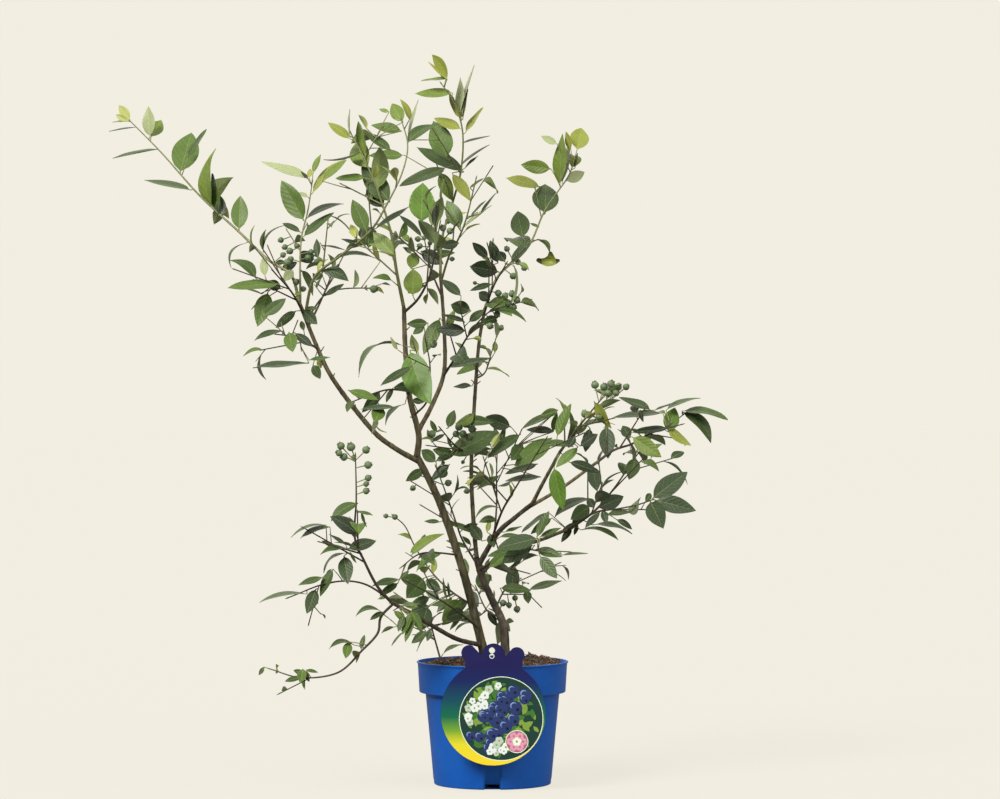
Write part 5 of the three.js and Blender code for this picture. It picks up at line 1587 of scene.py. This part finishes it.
for shoot, growth in growths.items():
    kept = [
        leaf for leaf in growth.leaves if not hides_set_leaf(leaf, ROOM_ROUND_SET) and not in_open_sky(leaf)
    ]
    if shoot in OUTLINED_SHOOTS:
        kept = [leaf for leaf in kept if abs(leaf.heading[1]) > FACING_AWAY]
    growth.leaves = kept + growth.set_leaves
    growth.berries = growth.set_berries or growth.berries
    roots = np.array([leaf.root for leaf in growth.leaves])
    growth.sprigs = [sprig for sprig in growth.sprigs if bears(sprig, roots)]
    starts = [sprig.line[0] for sprig in growth.sprigs] + [foot for foot, _, _ in growth.berries]
    borne = np.array([*roots, *starts])
    growth.twigs = [twig for twig in growth.twigs if bears(twig, borne)]

# ---------------- leaves
# Blueberry leaves: smooth-edged pointed ovals on very short stalks, a little folded along a pale
# midrib and arched, with a paler underside. Tip leaves are yellow-green and the middle of the bush
# mid green; besides, the tones are painted lighter at the top of the bush as painted light, and the
# lower leaves a dark bluish green, partly their own colour and partly painted shade.
# Beside the leaves' own greens, the dark and deep tones are partly painted shade on blades in shade, and the
# pale tone partly painted light on blades that show bright.
TONES = {
    "tip": srgb(142, 148, 66), "lime": srgb(126, 134, 54), "fresh": srgb(100, 120, 46),
    "green": srgb(78, 102, 40), "leaf": srgb(59, 80, 35), "deep": srgb(46, 64, 34),
    "dark": srgb(31, 46, 26), "pale": srgb(148, 158, 114), "bright": srgb(76, 108, 27),
}
# "light" and "upper" hold painted light for shoots on top and outside, "shade" and "deep" painted shade for
# shoots low in the bush and inside it.
PALETTES = {
    "light": (("lime", 0.22), ("fresh", 0.34), ("green", 0.28), ("leaf", 0.16)),
    "upper": (("lime", 0.05), ("fresh", 0.25), ("green", 0.33), ("leaf", 0.25), ("deep", 0.12)),
    "middle": (("fresh", 0.08), ("green", 0.27), ("leaf", 0.33), ("deep", 0.24), ("dark", 0.08)),
    "shade": (("green", 0.12), ("leaf", 0.3), ("deep", 0.36), ("dark", 0.22)),
    "deep": (("leaf", 0.16), ("deep", 0.4), ("dark", 0.44)),
}
LEAF_SEED = 900
LEAF_ROWS_MADE = 12
LEAF_COLUMNS = np.array((-1.0, -0.72, -0.4, 0.0, 0.0, 0.4, 0.72, 1.0))
MIDRIB_HALF = 0.5
MIDRIB_TAPER = 0.75
PETIOLE_SHARE = 0.05
PETIOLE_HALF = 0.8
BLADE_HALF_THICK = 0.2
BLADE_OUTLINE = (3.08, 0.7, 0.95)  # fullness, and how it rises from the foot and falls to the tip
FOLD = (0.12, 0.42)  # least, and how much more the most folded has
EDGE_WAVE = (0.04, 9.0, 3.0)  # its height, its turns along the blade, how far one edge is ahead
CURL = (0.3, 0.08)  # how far tips hang at most, and how far some rise
BEND = 0.16
MIDRIB_SUNK = 0.12
MIDRIB_PROUD = 0.3  # below the underside
SHARP_ANGLE = math.radians(70)
VEIN_SWEEP = 0.55  # how far the side veins lean to the tip
VEIN_WAVER = 0.09
VEIN_FINENESS = 46.0


def veining():
    """Fine side veins that sweep from the midrib to the tip: a light colour and a low relief."""
    group, start, end = effect_group(
        "Leaf Veining", Colour=(0.1, 0.2, 0.05, 1), Vein_Colour=(0.2, 0.3, 0.1, 1),
        Shade_Colour=(0.05, 0.1, 0.03, 1), Vein=0.5, Shade=0.5,
    )
    blade = node(group, "Attribute", attribute_name="blade")
    parts = node(group, "SeparateXYZ")
    sweep = node(group, "Math", operation="MULTIPLY_ADD")
    sweep.inputs[1].default_value = -VEIN_SWEEP
    place = node(group, "TexCoord")
    waver = node(group, "TexNoise", Scale=120.0, Detail=2.0)
    bent = node(group, "Math", operation="MULTIPLY_ADD")
    bent.inputs[1].default_value = VEIN_WAVER
    waves = node(group, "Math", operation="MULTIPLY")
    waves.inputs[1].default_value = VEIN_FINENESS
    sine = node(group, "Math", operation="SINE")
    line = node(group, "MapRange", From_Min=0.72, From_Max=1.0)
    vein = node(group, "Math", operation="MULTIPLY", use_clamp=True)
    blotch = node(group, "TexNoise", Scale=75.0, Detail=4.0, Roughness=0.6)
    spread = node(group, "MapRange", From_Min=0.4, From_Max=0.72)
    dull = node(group, "Math", operation="MULTIPLY", use_clamp=True)
    shaded = node(group, "Mix", data_type="RGBA")
    veined = node(group, "Mix", data_type="RGBA")
    wire(
        group, (blade, "Vector", parts, 0), (parts, "X", sweep, 0), (parts, "Y", sweep, 2),
        (place, "Object", waver, "Vector"), (place, "Object", blotch, "Vector"), (waver, "Fac", bent, 0),
        (sweep, 0, bent, 2), (bent, 0, waves, 0), (waves, 0, sine, 0), (sine, 0, line, "Value"),
        (line, 0, vein, 0), (start, "Vein", vein, 1), (blotch, "Fac", spread, "Value"),
        (spread, 0, dull, 0), (start, "Shade", dull, 1), (dull, 0, shaded, 0), (start, "Colour", shaded, 6),
        (start, "Shade Colour", shaded, 7), (vein, 0, veined, 0), (shaded, 2, veined, 6),
        (start, "Vein Colour", veined, 7), (veined, 2, end, "Colour"), (sine, 0, end, "Height"),
    )
    return group


VEINING = veining()


def toned(colour, by, towards=(1.0, 1.0, 1.0)):
    """The colour taken a share of the way to another."""
    return tuple(c + (t - c) * by for c, t in zip(colour[:3], towards)) + (1.0,)


def leaf_skin(name, colour, roughness, vein, relief, shade):
    """A leaf's surface: its tone, duller in patches, with its side veins drawn a little lighter."""
    values = dict(
        Vein_Colour=toned(colour, 0.1, (0.7, 0.75, 0.3)), Vein=vein,
        Shade_Colour=toned(colour, 0.4, (0.0, 0.01, 0.0)), Shade=shade,
    )
    return textured(name, colour, roughness, VEINING, values, relief, 0.0002, Specular_IOR_Level=0.35)


SOFT_TONES = ("tip", "lime", "pale")  # young blades, whose veins hardly show
leaf_materials, LEAF_SLOTS = [], {}
for tone, colour in TONES.items():
    under = toned(colour, 0.24, srgb(192, 204, 158)[:3])
    rib = toned(colour, 0.16, srgb(206, 212, 128)[:3])
    vein, relief, shade = (0.12, 0.12, 0.2) if tone in SOFT_TONES else (0.35, 0.35, 0.55)
    LEAF_SLOTS[tone] = (len(leaf_materials), len(leaf_materials) + 1, len(leaf_materials) + 2)
    leaf_materials += [
        leaf_skin(f"leaf_{tone}", colour, 0.46, vein, relief, shade),
        leaf_skin(f"leaf_{tone}_underside", under, 0.7, vein, relief, shade),
        leaf_skin(f"leaf_{tone}_midrib", rib, 0.5, 0.0, 0.1, shade),
    ]


def blade_mesh(leaf, draw):
    """A closed thin blade: points, faces, which part each face is (0 top, 1 under, 2 midrib), and for
    each point its place on the blade."""
    fold = FOLD[0] + FOLD[1] * draw() * leaf.limp
    wide = leaf.width * BLADE_WIDTH
    high, turns, ahead = EDGE_WAVE
    wave, phase = high * wide * draw(), draw() * 6.3
    curl = (CURL[0] * draw() - CURL[1]) * leaf.limp
    bend = (draw() - 0.5) * BEND * leaf.length * leaf.limp
    full, rising, falling = BLADE_OUTLINE
    points, places = [], []
    shares = np.concatenate([[0.0, PETIOLE_SHARE], np.linspace(PETIOLE_SHARE, 1.0, LEAF_ROWS_MADE - 1)[1:]])
    for share in shares:
        t = max(0.0, (share - PETIOLE_SHARE) / (1 - PETIOLE_SHARE))
        outline = full * t**rising * (1 - t) ** falling
        half = max(outline * wide / 2, PETIOLE_HALF * (1 - t) ** 2, 0.08)
        rib = min(MIDRIB_HALF * (1 - MIDRIB_TAPER * t), half * 0.4)
        across = LEAF_COLUMNS * half
        across[3], across[4] = -rib, rib
        droop = -curl * leaf.length * share**2
        for side in (1, -1):
            for out in across if side == 1 else across[1:-1]:
                u = abs(out) / max(half, 1e-6)
                lift = fold * abs(out) * (1 - 0.25 * u) + droop
                lift += wave * math.sin(phase + share * turns + (ahead if out > 0 else 0.0)) * u**2
                lift += side * BLADE_HALF_THICK * (1 - u**4)
                if abs(out) <= rib:
                    lift -= MIDRIB_SUNK if side == 1 else MIDRIB_PROUD
                points.append(leaf.point(share, out + bend * share**2) + leaf.face * lift)
                places.append((abs(out) / wide, share, 0.0))
    columns = len(LEAF_COLUMNS)
    ring = columns * 2 - 2
    rows = len(shares)
    around = list(range(columns)) + list(range(ring - 1, columns - 1, -1))
    faces, part = [], []
    for i in range(rows - 1):
        for j in range(ring):
            a, b = around[j], around[(j + 1) % ring]
            faces.append((i * ring + a, i * ring + b, (i + 1) * ring + b, (i + 1) * ring + a))
            part.append((2 if j == 3 else 0) if j < columns - 1 else (2 if around[j] == columns + 3 else 1))
    faces += [tuple(reversed(around)), tuple((rows - 1) * ring + a for a in around)]
    part += [1, 1]
    return np.array(points), faces, part, places


def tone_for(leaf, palette, draw):
    """The tone of one leaf: by its shoot's palette, and a step lighter for the youngest."""
    if leaf.tone:
        return leaf.tone
    share, chosen = draw(), PALETTES[palette][-1][0]
    for tone, weight in PALETTES[palette]:
        share -= weight
        if share < 0:
            chosen = tone
            break
    order = list(TONES)
    place = order.index(chosen)
    if leaf.size < 1.0 and place > 0 and palette != "deep":
        place -= 1
    return order[place]


def add_attribute(mesh, name, values):
    layer = mesh.attributes.new(name, "FLOAT_VECTOR", "POINT")
    layer.data.foreach_set("vector", np.asarray(values, np.float32).ravel())


for region, shoots in REGIONS.items():
    foliage, places = Pile(), []
    for shoot, palette in shoots.items():
        draw = draws_from(LEAF_SEED + shoot_order[shoot])
        for leaf in growths[shoot].leaves:
            slots = LEAF_SLOTS[tone_for(leaf, palette, draw)]
            points, faces, part, where = blade_mesh(leaf, draw)
            foliage.add(points, faces, [slots[p] for p in part])
            places += where
    piece = foliage.piece(region, leaf_materials)
    add_attribute(piece.data, "blade", places)
    piece.data.set_sharp_from_angle(angle=SHARP_ANGLE)
    fitted(piece, "foliage", *(f"foliage_{shoot}" for shoot in shoots))

# ---------------- shoot stems, twigs and sprigs
# The thin wood that carries the leaves: this year's growth is green to yellow-green, last year's
# red-brown, each tapering to a bud at its tip.
GREEN_SHOOTS = (
    "left_tip", "left_riser", "left_cross", "leader_top", "top_shoot", "centre_top_right", "upper_right",
)
BUD_LENGTH = 3.2
BUD_THICK = (1.0, 0.25)


def bud_on(spine, pile, material):
    """A pointed bud at the end of a stem or twig."""
    way, tip = spine.directions[-1], spine.line[-1]
    bud = Spine([tip - way * 0.5, tip + way * BUD_LENGTH * 0.5, tip + way * BUD_LENGTH], BUD_THICK)
    pile.add(*tube(bud, 6, 1.0), material)


twig_wood = Pile()
for shoot, growth in growths.items():
    young = 1 if shoot in GREEN_SHOOTS else 0
    stem = growth.stem
    twig_wood.add(*tube(stem, 10, 4.0, 2.0), young)
    bud_on(stem, twig_wood, 1)
    for spine in growth.twigs:
        twig_wood.add(*tube(spine, 8, 6.0), young)
        bud_on(spine, twig_wood, 1)
    for spine in growth.sprigs:
        twig_wood.add(*tube(spine, 6, 8.0), 1)
twig_piece = twig_wood.piece("shoot_wood", [RED_BARK, GREEN_BARK])
fitted(twig_piece, "bark")

# ---------------- bitten leaf
# One leaf on the right is turning yellow and has been eaten down to a crescent, brown along the
# bite. It hangs from the tip of a thin arched twig.
BITTEN_TWIG = [(532, 243), (535, 240.6), (539, 239.4), (545, 242.2), (548.6, 247), (550.3, 252.5)]
BITTEN_BROWN = [(536.2, 259.4), (538, 257.8), (541.4, 258.4), (542, 264.4), (538.6, 262.8), (536.4, 261)]
BITTEN_YELLOW = [
    (541.4, 258.4), (544.8, 257.8), (547.4, 256), (548.2, 253.8), (553, 253.8), (555.6, 258.6),
    (556.4, 264), (552, 265.8), (547.6, 266.4), (544.4, 265.6), (542, 264.4),
]
BITTEN_STEM_END = [(548.2, 253.8), (548.8, 252.2), (550.4, 251.4), (552, 252.2), (553, 253.8)]
BITTEN_TIP = [(555.6, 258.6), (559.6, 259.2), (560, 261.2), (556.4, 264)]
BITTEN_CUP = 0.012  # how far the crescent curls towards its ends, by the square of the distance
BITTEN_HALF_THICK = 0.16

bitten_yellow = mottled(
    "leaf_bitten_yellow", srgb(138, 146, 44), srgb(92, 104, 44), 0.5, (160.0, 1500.0, 0.8),
)
bitten_brown = mottled(
    "leaf_bitten_brown", srgb(44, 38, 24), srgb(86, 84, 46), 0.7, (220.0, 1500.0, 0.8),
)
_, bearer, bearer_s, _ = Carriers(REGIONS["leaves_crown"]).nearest(BITTEN_TWIG[0])
bitten_depth = bearer.point(bearer_s)[1]
bitten = Pile()
bitten_twig = Spine(
    [bearer.point(bearer_s)] + [on_sight(*spot, bitten_depth) for spot in BITTEN_TWIG[1:]], SET_STALK
)
bitten.add(*tube(bitten_twig, 8, 2.0), 2)
for outline, paint in ((BITTEN_YELLOW, 0), (BITTEN_BROWN, 1), (BITTEN_STEM_END, 1), (BITTEN_TIP, 1)):
    flat = [on_sight(*spot, bitten_depth)[[0, 2]] for spot in outline]
    points, faces = slab([flat], bitten_depth - BITTEN_HALF_THICK, bitten_depth + BITTEN_HALF_THICK)
    points[:, 1] += BITTEN_CUP * (points[:, 0] - bitten_twig.line[-1][0]) ** 2
    bitten.add(points, faces, paint)
bitten_piece = bitten.piece("bitten_leaf", [bitten_yellow, bitten_brown, RED_BARK])
fitted(bitten_piece, "foliage")

# ---------------- berries
# Unripe berries, green under a grey bloom, each on its own stalk, with the five-lobed crown of
# the flower still round the hollow at its end.
BERRY_SIDES = 20
BERRY_ROWS = 12  # rings of its skin, from the stalk to the crown
BERRY_FLAT = 0.93
BERRY_ARC = (0.12, 2.55)  # angles from the stalk where its skin starts and ends
FRUIT_STALK = (0.55, 0.8)
STALK_END = 0.9  # of the berry's radius
CROWN_LOBES = 5
CROWN_FLARE = 0.8
CROWN_ROWS = [(0.50, 0.86, 0.03), (0.52, 0.99, 0.2), (0.40, 0.95, 0.1), (0.33, 0.80, 0.0), (0.14, 0.76, 0.0)]
HOLLOW = 0.75


def berry_mesh(centre, heading, radius):
    """A berry from its stalk to the hollow in its crown, in rings of (out, along, lobe): points, faces
    and which part each face is (0 skin, 1 crown, 2 hollow)."""
    turns = np.linspace(*BERRY_ARC, BERRY_ROWS)
    rows = [(math.sin(t) * radius, -math.cos(t) * radius * BERRY_FLAT, 0.0) for t in turns]
    rows += [(out * radius, along * radius, lobe) for out, along, lobe in CROWN_ROWS]
    side = unit(cross(heading, UP))
    other = cross(side, heading)
    points = []
    for out, along, lobe in rows:
        for j in range(BERRY_SIDES):
            turn = -2 * math.pi * j / BERRY_SIDES
            wave = 1 + lobe * math.cos(CROWN_LOBES * turn)
            rise = along + lobe * radius * CROWN_FLARE * math.cos(CROWN_LOBES * turn)
            way = side * math.cos(turn) + other * math.sin(turn)
            points.append(centre + heading * rise + way * out * wave)
    points += [centre - heading * radius * BERRY_FLAT, centre + heading * radius * HOLLOW]
    part = [0] * (BERRY_ROWS - 1) + [1] * (len(CROWN_ROWS) + 1) + [2]
    return points, ring_skin(len(rows), BERRY_SIDES), np.repeat(part, BERRY_SIDES)


berry_green = mottled(
    "berry_unripe_green", srgb(62, 88, 46), srgb(108, 128, 88), 0.55, (150.0, 1500.0, 0.75), 0.15, 0.0002,
    Sheen_Weight=0.1,
)
berry_crown = mottled(
    "berry_crown_rim", srgb(84, 84, 54), srgb(56, 52, 38), 0.7, (300.0, 1500.0, 0.8),
)
berry_hollow = mottled(
    "berry_crown_hollow", srgb(40, 46, 30), srgb(28, 28, 22), 0.8, (300.0, 1500.0, 0.8),
)
fruit = Pile()
for growth in growths.values():
    for foot, centre, radius in growth.berries:
        heading = unit(centre - foot)
        fruit.add(*berry_mesh(centre, heading, radius))
        stalk = Spine([foot, centre - heading * radius * STALK_END], FRUIT_STALK)
        fruit.add(*tube(stalk, 7, 3.0), 3)
fruit_piece = fruit.piece("berries", [berry_green, berry_crown, berry_hollow, GREEN_BARK])
fitted(fruit_piece, "berries")

# ---------------- studio
# A pale cream floor that meets a background of the same colour without a horizon, a dim even sky,
# a large soft key light from the upper left in front, and weaker ones from the right, above and behind.
FLOOR_RADIUS = 60.0
FLOOR_SIDES = 48
FLOOR_GLOW = 0.85
FLOOR_BOUNCE = 0.2
BACKGROUND = srgb(242, 238, 225)
SKY_LIGHT = 0.42
KEY_LIGHTS = {
    # name: strength, softness, and how far it is tipped from overhead and turned to the right
    "soft_key": (4.0, 24.0, 50.0, -42.0),
    "soft_fill": (1.5, 60.0, 66.0, 46.0),
    "soft_top": (0.9, 60.0, 14.0, 20.0),
    "soft_back": (0.7, 60.0, 60.0, 200.0),
}
LIGHT_COLOUR = (1.0, 0.975, 0.92)
BLACK = (0.0, 0.0, 0.0)

world = bpy.data.worlds.new("studio")
world.use_nodes = True
sky_tree = world.node_tree
sky = sky_tree.nodes["Background"]
sky.inputs["Color"].default_value = BACKGROUND
seen = node(sky_tree, "LightPath")
strength = node(sky_tree, "MapRange", To_Min=SKY_LIGHT, To_Max=1.0)
wire(sky_tree, (seen, "Is Camera Ray", strength, "Value"), (strength, 0, sky, "Strength"))
bpy.context.scene.world = world

floor_light = [SKY_LIGHT * c for c in BACKGROUND[:3]]
for name, (energy, softness, tipped, turned) in KEY_LIGHTS.items():
    data = bpy.data.lights.new(name, "SUN")
    data.energy = energy
    data.angle = math.radians(softness)
    data.color = LIGHT_COLOUR
    light = bpy.data.objects.new(name, data)
    light.rotation_euler = (math.radians(tipped), 0.0, math.radians(turned))
    bpy.context.scene.collection.objects.link(light)
    share = energy / math.pi * math.cos(math.radians(tipped))
    floor_light = [lit + share * c for lit, c in zip(floor_light, LIGHT_COLOUR)]

# Most of the floor's brightness is its own, so that it takes hardly any shadow, and the bush is lit
# from below by less of it than the eye sees.
floor_tone = tuple(
    (1 - FLOOR_GLOW) * seen_colour / lit for seen_colour, lit in zip(BACKGROUND, floor_light)
) + (1.0,)
floor_paint = mottled(
    "studio_floor", floor_tone, toned(floor_tone, 0.03, BLACK), 0.95, (1.5, 60.0, 0.3),
    Specular_IOR_Level=0.0, Emission_Strength=1.0,
)
floor_tree = floor_paint.node_tree
floor_seen = node(floor_tree, "LightPath")
glow = node(floor_tree, "Mix", data_type="RGBA")
glow.inputs[6].default_value = toned(BACKGROUND, 1 - FLOOR_BOUNCE, BLACK)
glow.inputs[7].default_value = toned(BACKGROUND, 1 - FLOOR_GLOW, BLACK)
wire(
    floor_tree, (floor_seen, "Is Camera Ray", glow, 0),
    (glow, 2, floor_tree.nodes["Principled BSDF"], "Emission Color"),
)
floor_points = [(x / MM, y / MM, 0.0) for x, y in round_outline(0.0, 0.0, FLOOR_RADIUS, FLOOR_SIDES)]
floor = mesh_piece("studio_floor", floor_points, [tuple(range(FLOOR_SIDES))], [floor_paint])
